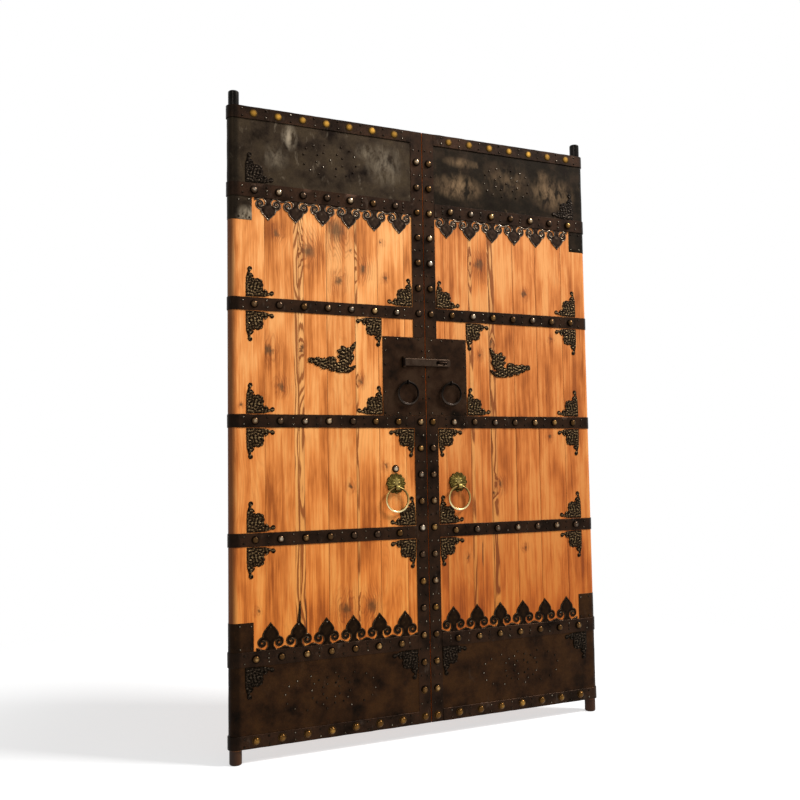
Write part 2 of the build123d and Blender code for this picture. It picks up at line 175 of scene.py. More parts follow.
# a closed outline in X and Y carried up through the heights; each height may pull the outline in a little
def sweptUp(profile, heights, insets):
    profile, heights = np.asarray(profile, float), np.asarray(heights, float)
    ahead, behind = np.roll(profile, -1, 0), np.roll(profile, 1, 0)
    along = ahead - behind
    inward = np.stack([-along[:, 1], along[:, 0]], -1)
    inward /= np.maximum(np.linalg.norm(inward, axis=1, keepdims=True), 1e-9)
    rows = profile[None] + inward[None] * np.asarray(insets, float)[:, None, None]
    points = np.concatenate([rows, np.broadcast_to(heights[:, None, None], rows.shape[:2] + (1,))], -1)
    return shellOf(points, cappedFaces(len(heights), len(profile)))


# a profile of radii and places turned once round an axis; the two ends close with a flat face
def turned(radii, places, segments, axis="z", **values):
    radii, places = np.asarray(radii, float), np.asarray(places, float)
    a = np.linspace(0, 2 * np.pi, segments, endpoint=False)
    round1, round2 = radii[:, None] * np.cos(a), radii[:, None] * np.sin(a)
    along = np.broadcast_to(places[:, None], round1.shape)
    order = {"z": (round1, round2, along), "x": (along, round1, round2), "y": (round2, along, round1)}[axis]
    spread = {k: np.repeat(np.asarray(v, float), segments) for k, v in values.items()}
    return shellOf(np.stack(order, -1), cappedFaces(len(radii), segments), **spread)


# a short pierced drum: a rounded oblong section, closed on itself, turned round the axis
def barrel(outer, inner, width, segments, axis="x"):
    mid, deep, wide = (outer + inner) / 2, (outer - inner) / 2, width / 2
    t = np.linspace(0, 2 * np.pi, 20, endpoint=False)
    corner = 2.0 / 3.5                      # super-ellipse power that leaves rounded corners
    r = mid + deep * np.sign(np.cos(t)) * np.abs(np.cos(t)) ** corner
    s = wide * np.sign(np.sin(t)) * np.abs(np.sin(t)) ** corner
    a = np.linspace(0, 2 * np.pi, segments, endpoint=False)
    one, two = r[None] * np.cos(a)[:, None], r[None] * np.sin(a)[:, None]
    along = np.broadcast_to(s[None], one.shape)
    points = np.stack({"x": (along, one, two), "z": (one, two, along)}[axis], -1)
    return shellOf(points, [ringQuads(*one.shape)[:, [0, 3, 2, 1]]])


# a ring in the XZ plane: a round section carried round a circle, its thickness wandering as hammered work
# does; worn runs up where hands and plates rub it, at the bottom of the ring and on its outside
def forgedRing(meanR, rod, seed, segments=96, sides=14):
    rng = np.random.default_rng(seed)
    a = np.linspace(0, 2 * np.pi, segments, endpoint=False)[:, None]
    b = np.linspace(0, 2 * np.pi, sides, endpoint=False)[None]
    slowDents = 0.03 * (1 + np.cos(3 * a + rng.uniform(0, 6)))
    quickDents = 0.015 * (1 + np.cos(11 * a + rng.uniform(0, 6)))
    thin = 1 - slowDents - quickDents
    flat = 1 - 0.05 * (1 + np.cos(2 * b + 1.3 * np.cos(5 * a + rng.uniform(0, 6)))) / 2
    r = meanR + rod / 2 * thin * flat * np.cos(b)
    y = rod / 2 * thin * flat * np.sin(b)
    points = np.stack([r * np.sin(a), np.broadcast_to(y, r.shape), r * np.cos(a)], -1)
    worn = 0.5 - 0.35 * np.cos(a) + 0.3 * np.cos(b)
    return shellOf(points, [ringQuads(segments, sides)], worn=np.clip(worn, 0, 1))


# a round rod along a path in the XY plane, closed at both ends
def tube(path, radius, sides):
    path = np.asarray(path, float)
    ahead = np.gradient(path, axis=0)
    ahead /= np.linalg.norm(ahead, axis=1, keepdims=True)
    across = np.stack([-ahead[:, 1], ahead[:, 0], np.zeros(len(path))], -1)
    b = np.linspace(0, 2 * np.pi, sides, endpoint=False)
    points = (path[:, None] + radius * np.cos(b)[None, :, None] * across[:, None]
              + radius * np.sin(b)[None, :, None] * np.array([0, 0, 1.0]))
    return shellOf(points, cappedFaces(len(path), sides))


# a plate cut along a field that is negative inside its outline: keeps the grid cells whose middle lies
# inside, slides their border points onto the outline, raises the front by the relief and closes the plate
# with a flat back and a rim
def cutPlate(field, low, high, cell, yBack, thick, relief):
    xs = np.arange(low[0], high[0] + cell, cell)
    zs = np.arange(low[1], high[1] + cell, cell)
    x, z = np.meshgrid(xs, zs)
    d = field(x, z)
    keep = (d[:-1, :-1] + d[1:, :-1] + d[:-1, 1:] + d[1:, 1:]) < 0
    rows, columns = d.shape
    quads = gridQuads(rows, columns)[keep.ravel()]
    around = np.zeros((rows, columns))
    around[:-1, :-1] += keep
    around[1:, :-1] += keep
    around[:-1, 1:] += keep
    around[1:, 1:] += keep
    border = (around > 0) & (around < 4)
    e = 0.2                                  # reach of the slope, in millimetres
    for turn in range(3):                    # three small steps onto the outline
        here = field(x, z)
        gx = (field(x + e, z) - field(x - e, z)) / (2 * e)
        gz = (field(x, z + e) - field(x, z - e)) / (2 * e)
        slope = np.maximum(gx * gx + gz * gz, 0.2)
        step = np.where(border, np.clip(here / slope, -0.6 * cell, 0.6 * cell), 0)
        x, z = x - step * gx, z - step * gz
    d = field(x, z)
    used, quads = np.unique(quads, return_inverse=True)
    quads = quads.reshape(-1, 4)
    px, pz, pd = x.ravel()[used], z.ravel()[used], d.ravel()[used]
    raised = relief(px, pz, pd)
    front = np.stack([px, yBack - thick * np.clip(0.35 + 0.65 * raised, 0, 1), pz], -1)
    back = np.stack([px, np.full(len(px), yBack), pz], -1)
    count = len(px)
    edges = np.concatenate([quads[:, [0, 1]], quads[:, [1, 2]], quads[:, [2, 3]], quads[:, [3, 0]]])
    code, reverse = edges[:, 0] * count + edges[:, 1], edges[:, 1] * count + edges[:, 0]
    rim = edges[~np.isin(code, reverse)]
    walls = np.stack([rim[:, 1], rim[:, 0], rim[:, 0] + count, rim[:, 1] + count], -1)
    return shellOf(np.concatenate([front, back]), [np.concatenate([quads, quads[:, ::-1] + count, walls])],
                   raised=np.concatenate([raised, np.zeros(count)]))


# points and half widths of a curl: the heading turns faster and faster along it (degrees per millimetre)
def scroll(x, z, heading, length, turnStart, turnEnd, wideStart, wideEnd, count=40):
    t = np.linspace(0, 1, count)
    step = length / (count - 1)
    turn = turnStart + (turnEnd - turnStart) * t ** 1.5
    a = np.radians(heading + np.cumsum(turn) * step - turn[0] * step)
    px = x + np.concatenate([[0], np.cumsum(np.cos(a))[:-1]]) * step
    pz = z + np.concatenate([[0], np.cumsum(np.sin(a))[:-1]]) * step
    return np.stack([px, pz, (wideStart + (wideEnd - wideStart) * t) / 2], -1)


# distance to the nearest stroke less its half width there: negative inside the drawn line
def strokeField(strokes):
    beads = np.concatenate(strokes)

    def field(x, z):
        flatX, flatZ = np.ravel(x), np.ravel(z)
        best = np.full(flatX.shape, 1e9)
        for part in np.array_split(beads, max(1, len(beads) // 60)):
            away = np.hypot(flatX[:, None] - part[:, 0], flatZ[:, None] - part[:, 1]) - part[:, 2]
            best = np.minimum(best, away.min(1))
        return best.reshape(np.shape(x))
    return field


# colours and nodes

# sRGB hex to linear RGBA
def linear(code):
    c = np.array([int(code[i:i + 2], 16) for i in (1, 3, 5)]) / 255.0
    c = np.where(c <= 0.04045, c / 12.92, ((c + 0.055) / 1.055) ** 2.4)
    return (float(c[0]), float(c[1]), float(c[2]), 1.0)


# adds one node: settings are its own values, inputs are numbers, colours or what feeds each socket
def addNode(tree, kind, inputs=None, stops=None, **settings):
    node = tree.nodes.new("ShaderNode" + kind)
    for key, value in settings.items():
        setattr(node, key, value)
    for key, value in (inputs or {}).items():
        if isinstance(value, bpy.types.Node):
            value = value.outputs[0]
        if isinstance(value, bpy.types.NodeSocket):
            tree.links.new(value, node.inputs[key])
        elif isinstance(value, str):
            node.inputs[key].default_value = linear(value)
        else:
            node.inputs[key].default_value = value
    if stops:
        ramp = node.color_ramp.elements
        while len(ramp) < len(stops):
            ramp.new(0.5)
        for element, (place, code) in zip(ramp, stops):
            element.position = place
            element.color = linear(code) if isinstance(code, str) else (code, code, code, 1.0)
    return node


# an empty node material with its shader, and the object coordinates in millimetres
def newMaterial(name):
    material = bpy.data.materials.new(name)
    material.use_nodes = True
    tree = material.node_tree
    tree.nodes.clear()
    shader = addNode(tree, "BsdfPrincipled")
    addNode(tree, "OutputMaterial", {"Surface": shader})
    place = addNode(tree, "TexCoord").outputs["Object"]
    place = addNode(tree, "VectorMath", {0: place, "Scale": 1000.0}, operation="SCALE")
    return material, tree, shader, place


# noise read through stretched and shifted coordinates, so that its blots become streaks
def streakNoise(tree, place, stretch, shift=(0.0, 0.0, 0.0), **settings):
    moved = addNode(tree, "VectorMath", {0: place, 1: stretch, 2: tuple(shift)}, operation="MULTIPLY_ADD")
    return addNode(tree, "TexNoise", {"Vector": moved, "Scale": 1.0, **settings})


# how far a coordinate lies from a value, to either side
def distanceFrom(tree, coordinate, value):
    away = addNode(tree, "Math", {0: coordinate, 1: value}, operation="SUBTRACT")
    return addNode(tree, "Math", {0: away}, operation="ABSOLUTE")


# oiled pine: flat-sawn boards, wire-brushed, so the dark late wood stands up and takes the stain; the eye
# gets soft upright streaks, flames of grain along some joints, smudged knots and an orange tone that deepens
# downwards, partly a deeper stain and partly painted shade

pineFinish = {
    "dark": "#a45a20", "brown": "#cd7a37", "base": "#e8934c", "light": "#f9b069",
    "late": "#8b4817", "flame": "#ffc67e", "knot": "#553c22", "halo": "#a67f50",
    # the dark colour for the round left hinge edge is painted shade: that edge faces away from the light
    "joint": "#6d3a16", "crack": "#4a2710", "hingeEdgeShade": "#3f1f0c", "pin": "#1f120a",
    "low": "#e8d2a4",                        # what the colour is multiplied by near the ground: a deeper stain, and partly painted shade
    "ringSpacing": 9.5,                      # from one late-wood line to the next
    "wander": (0.011, 0.011, 0.0021),        # slow bends of the grain, a board wide
    "ragged": (0.09, 0.09, 0.006),           # small wobbles of the late-wood lines
    "fibre": (0.42, 0.42, 0.009),            # fine streaks two millimetres wide
    "broad": (0.062, 0.062, 0.0026),         # streaks of stain a finger wide
    "patch": (0.012, 0.012, 0.0042),         # clouds of stain a hand wide
    "knotSway": 46.0,                        # how far noise pushes the outline of a knot about
    "roughness": 0.52, "gloss": 0.18}


# each knot (X, Z, size) swells the ring distance by size x exp(-0.16 x squared distance in sizes), is dark
# inside and browns the wood around it
def addKnots(tree, place, knots, ringWay):
    knotMark, knotHalo = 0.0, 0.0
    sway = pineFinish["knotSway"]
    ruffle = addNode(tree, "TexNoise", {"Vector": place, "Scale": 0.03, "Detail": 3.0, "Roughness": 0.6})
    ruffled = addNode(tree, "VectorMath", {0: ruffle.outputs["Color"], 1: (sway, 0.0, sway), 2: place},
                      operation="MULTIPLY_ADD")
    for x, z, size in knots:
        toKnot = addNode(tree, "VectorMath", {0: ruffled, 1: (x + sway / 2, 0, z + sway / 2)},
                         operation="SUBTRACT")
        toKnot = addNode(tree, "VectorMath", {0: toKnot, 1: (1.0, 0.0, 0.8)}, operation="MULTIPLY")
        away = addNode(tree, "VectorMath", {0: toKnot}, operation="LENGTH").outputs["Value"]
        away = addNode(tree, "Math", {0: away, 1: size}, operation="DIVIDE")
        swell = addNode(tree, "Math", {0: away, 1: away}, operation="MULTIPLY")
        swell = addNode(tree, "Math", {0: swell, 1: -0.16}, operation="MULTIPLY")
        swell = addNode(tree, "Math", {0: math.e, 1: swell}, operation="POWER")
        ringWay = addNode(tree, "Math", {0: swell, 1: -size * 1.3, 2: ringWay}, operation="MULTIPLY_ADD")
        mark = addNode(tree, "MapRange", {"Value": away, 1: 1.2, 2: 0.35, 3: 0.0, 4: 1.0})
        halo = addNode(tree, "MapRange", {"Value": away, 1: 3.6, 2: 0.8, 3: 0.0, 4: 1.0})
        knotMark = addNode(tree, "Math", {0: knotMark, 1: mark}, operation="MAXIMUM")
        knotHalo = addNode(tree, "Math", {0: knotHalo, 1: halo}, operation="MAXIMUM")
    return ringWay, knotMark, knotHalo


# each crack (X, lowest, highest, half width) follows the wander of the grain and closes towards its ends
def addCracks(tree, across, up, wander, cracks):
    crackMark = 0.0
    for x, low, high, wide in cracks:
        bend = addNode(tree, "Math", {0: wander, 1: 26.0, 2: -13.0 - x}, operation="MULTIPLY_ADD")
        off = addNode(tree, "Math", {0: across, 1: bend}, operation="ADD")
        off = addNode(tree, "Math", {0: off}, operation="ABSOLUTE")
        along = distanceFrom(tree, up, (low + high) / 2)
        half = (high - low) / 2
        room = addNode(tree, "MapRange", {"Value": along, 1: half, 2: half * 0.4, 3: 0.0, 4: wide},
                       interpolation_type="SMOOTHSTEP")
        gap = addNode(tree, "Math", {0: room, 1: off}, operation="SUBTRACT")
        gap = addNode(tree, "MapRange", {"Value": gap, 1: -1.2, 2: 0.6, 3: 0.0, 4: 1.0})
        crackMark = addNode(tree, "Math", {0: crackMark, 1: gap}, operation="MAXIMUM")
    return crackMark


# ring distance = length of (across - pith, depth that wanders with height), swollen round each knot; the
# fraction of that distance over the ring spacing gives the late-wood line
def pineMaterial(name, seed, xLow, xHigh, pith, depth, tone, knots=(), cracks=(), flames=(), joint=0.34,
                 lying=False, warmth=1.0, low=pineFinish["low"]):
    f = pineFinish
    material, tree, shader, place = newMaterial(name)
    rng = np.random.default_rng(seed)
    if lying:                                # boards laid across the leaf: height and length change places
        turnedWay = addNode(tree, "SeparateXYZ", {0: place})
        place = addNode(tree, "CombineXYZ", {0: turnedWay.outputs[2], 1: turnedWay.outputs[1],
                                             2: turnedWay.outputs[0]})
    axes = addNode(tree, "SeparateXYZ", {0: place})
    across, up = axes.outputs[0], axes.outputs[2]
    middle, half = (xLow + xHigh) / 2, (xHigh - xLow) / 2
    wander = streakNoise(tree, place, f["wander"], rng.uniform(0, 90, 3), Detail=2.0, Roughness=0.45)
    deep = addNode(tree, "MapRange", {"Value": wander, 1: 0.25, 2: 0.75, 3: depth * 0.25, 4: depth * 1.9})
    aside = addNode(tree, "Math", {0: across, 1: middle + pith}, operation="SUBTRACT")
    arm = addNode(tree, "CombineXYZ", {0: aside, 1: deep, 2: 0.0})
    ringWay = addNode(tree, "VectorMath", {0: arm}, operation="LENGTH").outputs["Value"]
    ringWay, knotMark, knotHalo = addKnots(tree, place, knots, ringWay)
    ragged = streakNoise(tree, place, f["ragged"], Detail=3.0, Roughness=0.55)
    ringWay = addNode(tree, "Math", {0: ragged, 1: 9.0, 2: ringWay}, operation="MULTIPLY_ADD")
    turns = addNode(tree, "Math", {0: ringWay, 1: f["ringSpacing"]}, operation="DIVIDE")
    part = addNode(tree, "Math", {0: turns}, operation="FRACT")
    late = addNode(tree, "ValToRGB", {"Fac": part},
                   stops=[(0.0, 0.35), (0.12, 0.0), (0.55, 0.12), (0.86, 1.0), (1.0, 0.35)])
    # the stain: broad streaks, clouds and fibres added up and read off a ramp from dark to light
    fibres = streakNoise(tree, place, f["fibre"], Detail=4.0, Roughness=0.6)
    broad = streakNoise(tree, place, f["broad"], rng.uniform(0, 90, 3), Detail=4.0, Roughness=0.6,
                        Distortion=0.5)
    patches = streakNoise(tree, place, f["patch"], rng.uniform(0, 90, 3), Detail=3.0, Roughness=0.5)
    mixed = addNode(tree, "Math", {0: patches, 1: 0.45}, operation="MULTIPLY")
    mixed = addNode(tree, "Math", {0: broad, 1: 0.41, 2: mixed}, operation="MULTIPLY_ADD")
    mixed = addNode(tree, "Math", {0: fibres, 1: 0.17, 2: mixed}, operation="MULTIPLY_ADD")
    colour = addNode(tree, "ValToRGB", {"Fac": mixed}, stops=[(0.385, f["dark"]), (0.45, f["brown"]),
                                                              (0.51, f["base"]), (0.59, f["light"])])
    # late-wood lines: faint as a rule, plain around knots, and full in the pale flames (X, half width)
    strength = addNode(tree, "MapRange", {"Value": wander, 1: 0.3, 2: 0.7, 3: 0.03, 4: 0.2})
    strength = addNode(tree, "Math", {0: knotHalo, 1: 0.5, 2: strength}, operation="MULTIPLY_ADD")
    flameMark = 0.0
    for x, wide in flames:
        off = distanceFrom(tree, across, x)
        mark = addNode(tree, "MapRange", {"Value": off, 1: wide, 2: wide * 0.55, 3: 0.0, 4: 1.0})
        flameMark = addNode(tree, "Math", {0: flameMark, 1: mark}, operation="MAXIMUM")
    paler = addNode(tree, "Math", {0: flameMark, 1: 0.55}, operation="MULTIPLY")
    colour = addNode(tree, "MixRGB", {0: paler, 1: colour, 2: f["flame"]})
    strength = addNode(tree, "Math", {0: flameMark, 1: 1.7, 2: strength}, operation="MULTIPLY_ADD")
    lateAmount = addNode(tree, "Math", {0: late, 1: strength}, operation="MULTIPLY")
    lateAmount = addNode(tree, "Math", {0: lateAmount, 1: 0.9}, operation="MINIMUM")
    colour = addNode(tree, "MixRGB", {0: lateAmount, 1: colour, 2: f["late"]})
    # knots: a browned halo broken by the fibres, and a dark heart
    hatch = addNode(tree, "MapRange", {"Value": fibres, 1: 0.40, 2: 0.58, 3: 1.0, 4: 0.3})
    smudge = addNode(tree, "MapRange", {"Value": broad, 1: 0.35, 2: 0.65, 3: 1.0, 4: 0.25})
    smudge = addNode(tree, "Math", {0: smudge, 1: hatch}, operation="MULTIPLY")
    haloAmount = addNode(tree, "Math", {0: knotHalo, 1: smudge}, operation="MULTIPLY")
    colour = addNode(tree, "MixRGB", {0: haloAmount, 1: colour, 2: f["halo"]}, blend_type="MULTIPLY")
    heart = addNode(tree, "MapRange", {"Value": fibres, 1: 0.38, 2: 0.62, 3: 1.0, 4: 0.55})
    heart = addNode(tree, "Math", {0: knotMark, 1: heart}, operation="MULTIPLY")
    colour = addNode(tree, "MixRGB", {0: heart, 1: colour, 2: f["knot"]})
    crackMark = addCracks(tree, across, up, wander, cracks)
    crackDark = addNode(tree, "Math", {0: crackMark, 1: 0.9}, operation="MULTIPLY")
    colour = addNode(tree, "MixRGB", {0: crackDark, 1: colour, 2: f["crack"]})
    # darker towards the ground, partly a deeper stain and partly painted shade, and dirt gathers in the
    # joints beside each board
    down = addNode(tree, "MapRange", {"Value": up, 1: 1800.0, 2: 380.0, 3: 0.0, 4: 0.4 if lying else 1.0})
    colour = addNode(tree, "MixRGB", {0: down, 1: colour, 2: low}, blend_type="MULTIPLY")
    fromMiddle = distanceFrom(tree, across, middle)
    seam = addNode(tree, "MapRange", {"Value": fromMiddle, 1: half - 3.5, 2: half - 0.2, 3: 0.0, 4: joint},
                   interpolation_type="SMOOTHSTEP")
    colour = addNode(tree, "MixRGB", {0: seam, 1: colour, 2: f["joint"]})
    if not lying:
        # painted shade: the round left hinge edge, turned away from the light, is darkened in the colour; the
        # bare pins are brown from handling and damp
        hingeEdgeShade = addNode(tree, "MapRange", {"Value": across, 1: 4.0, 2: -16.0, 3: 0.0, 4: 0.85})
        colour = addNode(tree, "MixRGB", {0: hingeEdgeShade, 1: colour, 2: f["hingeEdgeShade"]})
        pin = addNode(tree, "MapRange", {"Value": up, 1: 6.0, 2: -6.0, 3: 0.0, 4: 0.95})
        colour = addNode(tree, "MixRGB", {0: pin, 1: colour, 2: f["pin"]})
    toned = (tone, tone * warmth, tone * warmth ** 2, 1.0)
    colour = addNode(tree, "MixRGB", {0: 1.0, 1: colour, 2: toned}, blend_type="MULTIPLY")
    tree.links.new(colour.outputs[0], shader.inputs["Base Color"])
    rough = addNode(tree, "MapRange", {"Value": fibres, 1: 0.2, 2: 0.8, 3: f["roughness"] - 0.08,
                                       4: f["roughness"] + 0.12})
    tree.links.new(rough.outputs[0], shader.inputs["Roughness"])
    shader.inputs["Specular IOR Level"].default_value = f["gloss"]
    height = addNode(tree, "Math", {0: late, 1: 0.6, 2: fibres}, operation="MULTIPLY_ADD")
    height = addNode(tree, "Math", {0: crackMark, 1: -3.0, 2: height}, operation="MULTIPLY_ADD")
    bump = addNode(tree, "Bump", {"Strength": 0.35, "Distance": 0.0007, "Height": height})
    tree.links.new(bump.outputs[0], shader.inputs["Normal"])
    return material


# blackened iron: hammered sheet and strap with an oiled scale skin, brown where it rusts through and pale
# and smooth where it was rubbed; the eye gets a dark satin skin with soft glints and scuffs

ironFinish = {
    "black": "#150f0b", "rubbed": "#85786a",
    "oil": "#0c0b09",                        # painted shade where it bends round the left hinge edge, which faces away from the light
    "cloud": 0.012,                          # clouds of scale, a hand wide
    "streak": (0.036, 0.036, 0.017),         # rubbed streaks, three fingers wide
    "dents": 0.035,                          # hammer marks, three fingers apart
    "grit": 3.0}                             # size of the scale grains


# layers: skin and brown mixed by cloudy noise, dark pits, rubbed streaks across the grain, and scuffs at
# given places (X, Z, width, height, power) whose edges the same noise tears
def ironMaterial(name, skin, brown, rubbedAmount, roughness, scuffs=(), rubbed=ironFinish["rubbed"]):
    f = ironFinish
    material, tree, shader, place = newMaterial(name)
    cloud = addNode(tree, "TexNoise", {"Vector": place, "Scale": f["cloud"], "Detail": 5.0,
                                       "Roughness": 0.62})
    colour = addNode(tree, "ValToRGB", {"Fac": cloud},
                     stops=[(0.3, f["black"]), (0.47, skin), (0.62, brown), (0.8, skin)])
    grit = addNode(tree, "TexNoise", {"Vector": place, "Scale": 1.0 / f["grit"], "Detail": 4.0,
                                      "Roughness": 0.7})
    gritTone = addNode(tree, "MapRange", {"Value": grit, 1: 0.3, 2: 0.7, 3: 0.68, 4: 1.3})
    colour = addNode(tree, "MixRGB", {0: 1.0, 1: colour, 2: gritTone}, blend_type="MULTIPLY")
    streaks = streakNoise(tree, place, f["streak"], Detail=6.0, Roughness=0.66, Distortion=0.4)
    amount = addNode(tree, "MapRange", {"Value": streaks, 1: 0.60, 2: 0.76, 3: 0.0, 4: rubbedAmount})
    for x, z, wide, tall, power in scuffs:
        away = addNode(tree, "VectorMath", {0: place, 1: (x, 0, z)}, operation="SUBTRACT")
        away = addNode(tree, "VectorMath", {0: away, 1: (1.0 / wide, 0.0, 1.0 / tall)}, operation="MULTIPLY")
        away = addNode(tree, "VectorMath", {0: away}, operation="LENGTH").outputs["Value"]
        near = addNode(tree, "MapRange", {"Value": away, 1: 1.0, 2: 0.15, 3: 0.0, 4: 1.0})
        torn = addNode(tree, "MapRange", {"Value": streaks, 1: 0.40, 2: 0.62, 3: 0.0, 4: power})
        spot = addNode(tree, "Math", {0: near, 1: torn}, operation="MULTIPLY")
        amount = addNode(tree, "Math", {0: amount, 1: spot}, operation="MAXIMUM")
    colour = addNode(tree, "MixRGB", {0: amount, 1: colour, 2: rubbed})
    # painted shade: the iron darkens over the round left hinge edge, the side turned from the light
    across = addNode(tree, "SeparateXYZ", {0: place}).outputs[0]
    bend = addNode(tree, "MapRange", {"Value": across, 1: 16.0, 2: 4.0, 3: 0.0, 4: 0.6})
    colour = addNode(tree, "MixRGB", {0: bend, 1: colour, 2: f["oil"]})
    tree.links.new(colour.outputs[0], shader.inputs["Base Color"])
    rough = addNode(tree, "MapRange", {"Value": grit, 1: 0.25, 2: 0.75, 3: roughness - 0.1,
                                       4: roughness + 0.14})
    rough = addNode(tree, "Math", {0: amount, 1: -0.12, 2: rough}, operation="MULTIPLY_ADD")
    tree.links.new(rough.outputs[0], shader.inputs["Roughness"])
    shader.inputs["Metallic"].default_value = 1.0
    dents = addNode(tree, "TexNoise", {"Vector": place, "Scale": f["dents"], "Detail": 2.0,
                                       "Roughness": 0.5})
    height = addNode(tree, "Math", {0: grit, 1: 0.35, 2: dents}, operation="MULTIPLY_ADD")
    bump = addNode(tree, "Bump", {"Strength": 0.5, "Distance": 0.0008, "Height": height})
    tree.links.new(bump.outputs[0], shader.inputs["Normal"])
    return material


# cast and forged pieces: a patina read from a per-point value, low in the hollows and high on the rubbed
# tops, broken by fine noise; on studs, nails and filigree the pale tops are partly a painted highlight; tones
# go from hollow to top, polish is the roughness of hollow and top
def castMaterial(name, value, tones, polish, grainSize=1.6, warm=None, dirt=0.42):
    material, tree, shader, place = newMaterial(name)
    worn = addNode(tree, "Attribute", attribute_name=value).outputs["Fac"]
    grit = addNode(tree, "TexNoise", {"Vector": place, "Scale": 1.0 / grainSize, "Detail": 4.0,
                                      "Roughness": 0.65})
    blotch = addNode(tree, "TexNoise", {"Vector": place, "Scale": 0.05, "Detail": 3.0, "Roughness": 0.6})
    lift = addNode(tree, "Math", {0: grit, 1: 0.35, 2: worn}, operation="MULTIPLY_ADD")
    lift = addNode(tree, "Math", {0: blotch, 1: 0.4, 2: lift}, operation="MULTIPLY_ADD")
    lift = addNode(tree, "Math", {0: lift, 1: dirt}, operation="SUBTRACT")
    levels = (0.05, 0.5, 0.95)
    colour = addNode(tree, "ValToRGB", {"Fac": lift}, stops=list(zip(levels, tones)))
    if warm:                                 # gilded heads: the per-point value warm mixes a second patina in
        tint = addNode(tree, "Attribute", attribute_name="warm").outputs["Fac"]
        other = addNode(tree, "ValToRGB", {"Fac": lift}, stops=list(zip(levels, (tones[0],) + warm)))
        colour = addNode(tree, "MixRGB", {0: tint, 1: colour, 2: other})
    tree.links.new(colour.outputs[0], shader.inputs["Base Color"])
    rough = addNode(tree, "MapRange", {"Value": lift, 1: 0.1, 2: 0.9, 3: polish[0], 4: polish[1]})
    tree.links.new(rough.outputs[0], shader.inputs["Roughness"])
    shader.inputs["Metallic"].default_value = 1.0
    bump = addNode(tree, "Bump", {"Strength": 0.4, "Distance": 0.0004, "Height": grit})
    tree.links.new(bump.outputs[0], shader.inputs["Normal"])
    return material


# forged strap, oiled black: dark bands with soft glints on the hammer marks
strapIron = ironMaterial("OiledStrapIron", "#251a13", "#312117", 0.15, 0.42)
# upper sheets, scuffed pale in places by what was leaned against them; the two strongest spots, on the tab of
# the left sheet, are partly a painted highlight
sheetScuffs = {"left": ((205, 2205, 36, 60, 0.7), (150, 2125, 60, 60, 0.3), (590, 2150, 90, 100, 0.3),
                        (520, 2190, 60, 40, 0.35), (40, 1896, 46, 40, 1.0), (30, 1890, 34, 30, 1.0)),
               "right": ((922, 2098, 125, 62, 0.75), (1374, 2118, 125, 85, 0.7), (1330, 2185, 40, 40, 0.5),
                         (930, 2200, 90, 26, 0.45), (1150, 2150, 150, 90, 0.25))}
sheetTones = {"left": ("#2d241b", "#362c20", "#9c8d77"), "right": ("#19140e", "#261d15", "#7f664b")}
topSheetIron = {side: ironMaterial(f"ScuffedSheetIron_{side}", skin, brown, 0.25, 0.46, sheetScuffs[side],
                                   rubbed) for side, (skin, brown, rubbed) in sheetTones.items()}
# lower sheets, browned by splashes and almost without scuffs
lowSheetIron = ironMaterial("BrownedSheetIron", "#2c1c11", "#382414", 0.06, 0.5)
# lock plate: smooth blackened plate, a little redder than the straps
plateIron = ironMaterial("BlackenedPlateIron", "#291b12", "#34251a", 0.1, 0.47, rubbed="#54453a")
# pin sleeves: nearly black and greasy, so they shine most
sleeveIron = ironMaterial("BlackPinSleeve", "#1a1816", "#262220", 0.1, 0.26)
# pull rings and eyes: black iron that hands keep dull and smooth
ringIron = castMaterial("RubbedRingIron", "worn", ("#0c0907", "#1a1410", "#443b34"), (0.45, 0.28))
# hasp and staple: coarse forged bar, grey along its rubbed front
haspIron = castMaterial("ForgedHaspIron", "worn", ("#140d09", "#2c2018", "#54463a"), (0.5, 0.36),
                        grainSize=2.4)
# brackets and winged ornaments: thin bronze, black in its hollows, and tan on its highest leaves, partly
# rubbed metal and partly painted glints
filigreeIron = castMaterial("BronzedFiligree", "raised", ("#0e0906", "#2b1e13", "#746041"), (0.6, 0.36),
                            grainSize=3.2, dirt=0.46)
# studs: dark bronze domes, bright on top, partly rubbed and partly a painted highlight on the crown, some of
# them with their gilding left
studBrass = castMaterial("DarkStudBronze", "worn", ("#150d08", "#45362a", "#e2d4bc"), (0.3, 0.14),
                         warm=("#573c1c", "#cf9f4e"))
# flat discs: yellow brass worn matt
discBrass = castMaterial("WornDiscBrass", "worn", ("#34240f", "#7c5a22", "#b98a38"), (0.6, 0.42))
# beast masks: olive-brown brass, yellower where hands touch brow and snout
knockerBrass = castMaterial("HandledBrass", "raised", ("#191208", "#55471f", "#93804a"), (0.6, 0.36))
# knocker rings: pale brass polished by use
ringBrass = castMaterial("HandledRingBrass", "worn", ("#4a3619", "#b39557", "#f7e6b2"), (0.38, 0.2))
# leafwork on the sheets: sooty, so that it hardly stands out from the iron
sheetFiligree = castMaterial("SootyFiligree", "raised", ("#0b0805", "#1f1812", "#3d342a"), (0.6, 0.36),
                             grainSize=3.2, dirt=0.5)
# fringes: iron with a rim rubbed bright above, sooty below
fringeIron = {"top": castMaterial("RimmedFringeIron", "raised", ("#150e0a", "#35281f", "#b5a38a"),
                                  (0.5, 0.24), grainSize=4.0, dirt=0.5),
              "bottom": castMaterial("SootyFringeIron", "raised", ("#100a07", "#25190f", "#5f4c36"),
                                     (0.52, 0.3), grainSize=4.0, dirt=0.5)}
# nails: small iron heads, most of them rubbed, their pale crowns partly a painted highlight
nailIron = castMaterial("NailHeadIron", "worn", ("#120d09", "#33281d", "#8e8474"), (0.5, 0.25))
print("metal finishes ready")


# boards

boardEdges = {}
for side in ("left", "right"):
    for part in ("hinge_stile", "plank_1", "plank_2", "plank_3", "plank_4", "plank_5", "meeting_stile"):
        low, high = nodeBox(f"{side}_{part}")
        boardEdges[side, part] = (float(low[0]), float(high[0]))

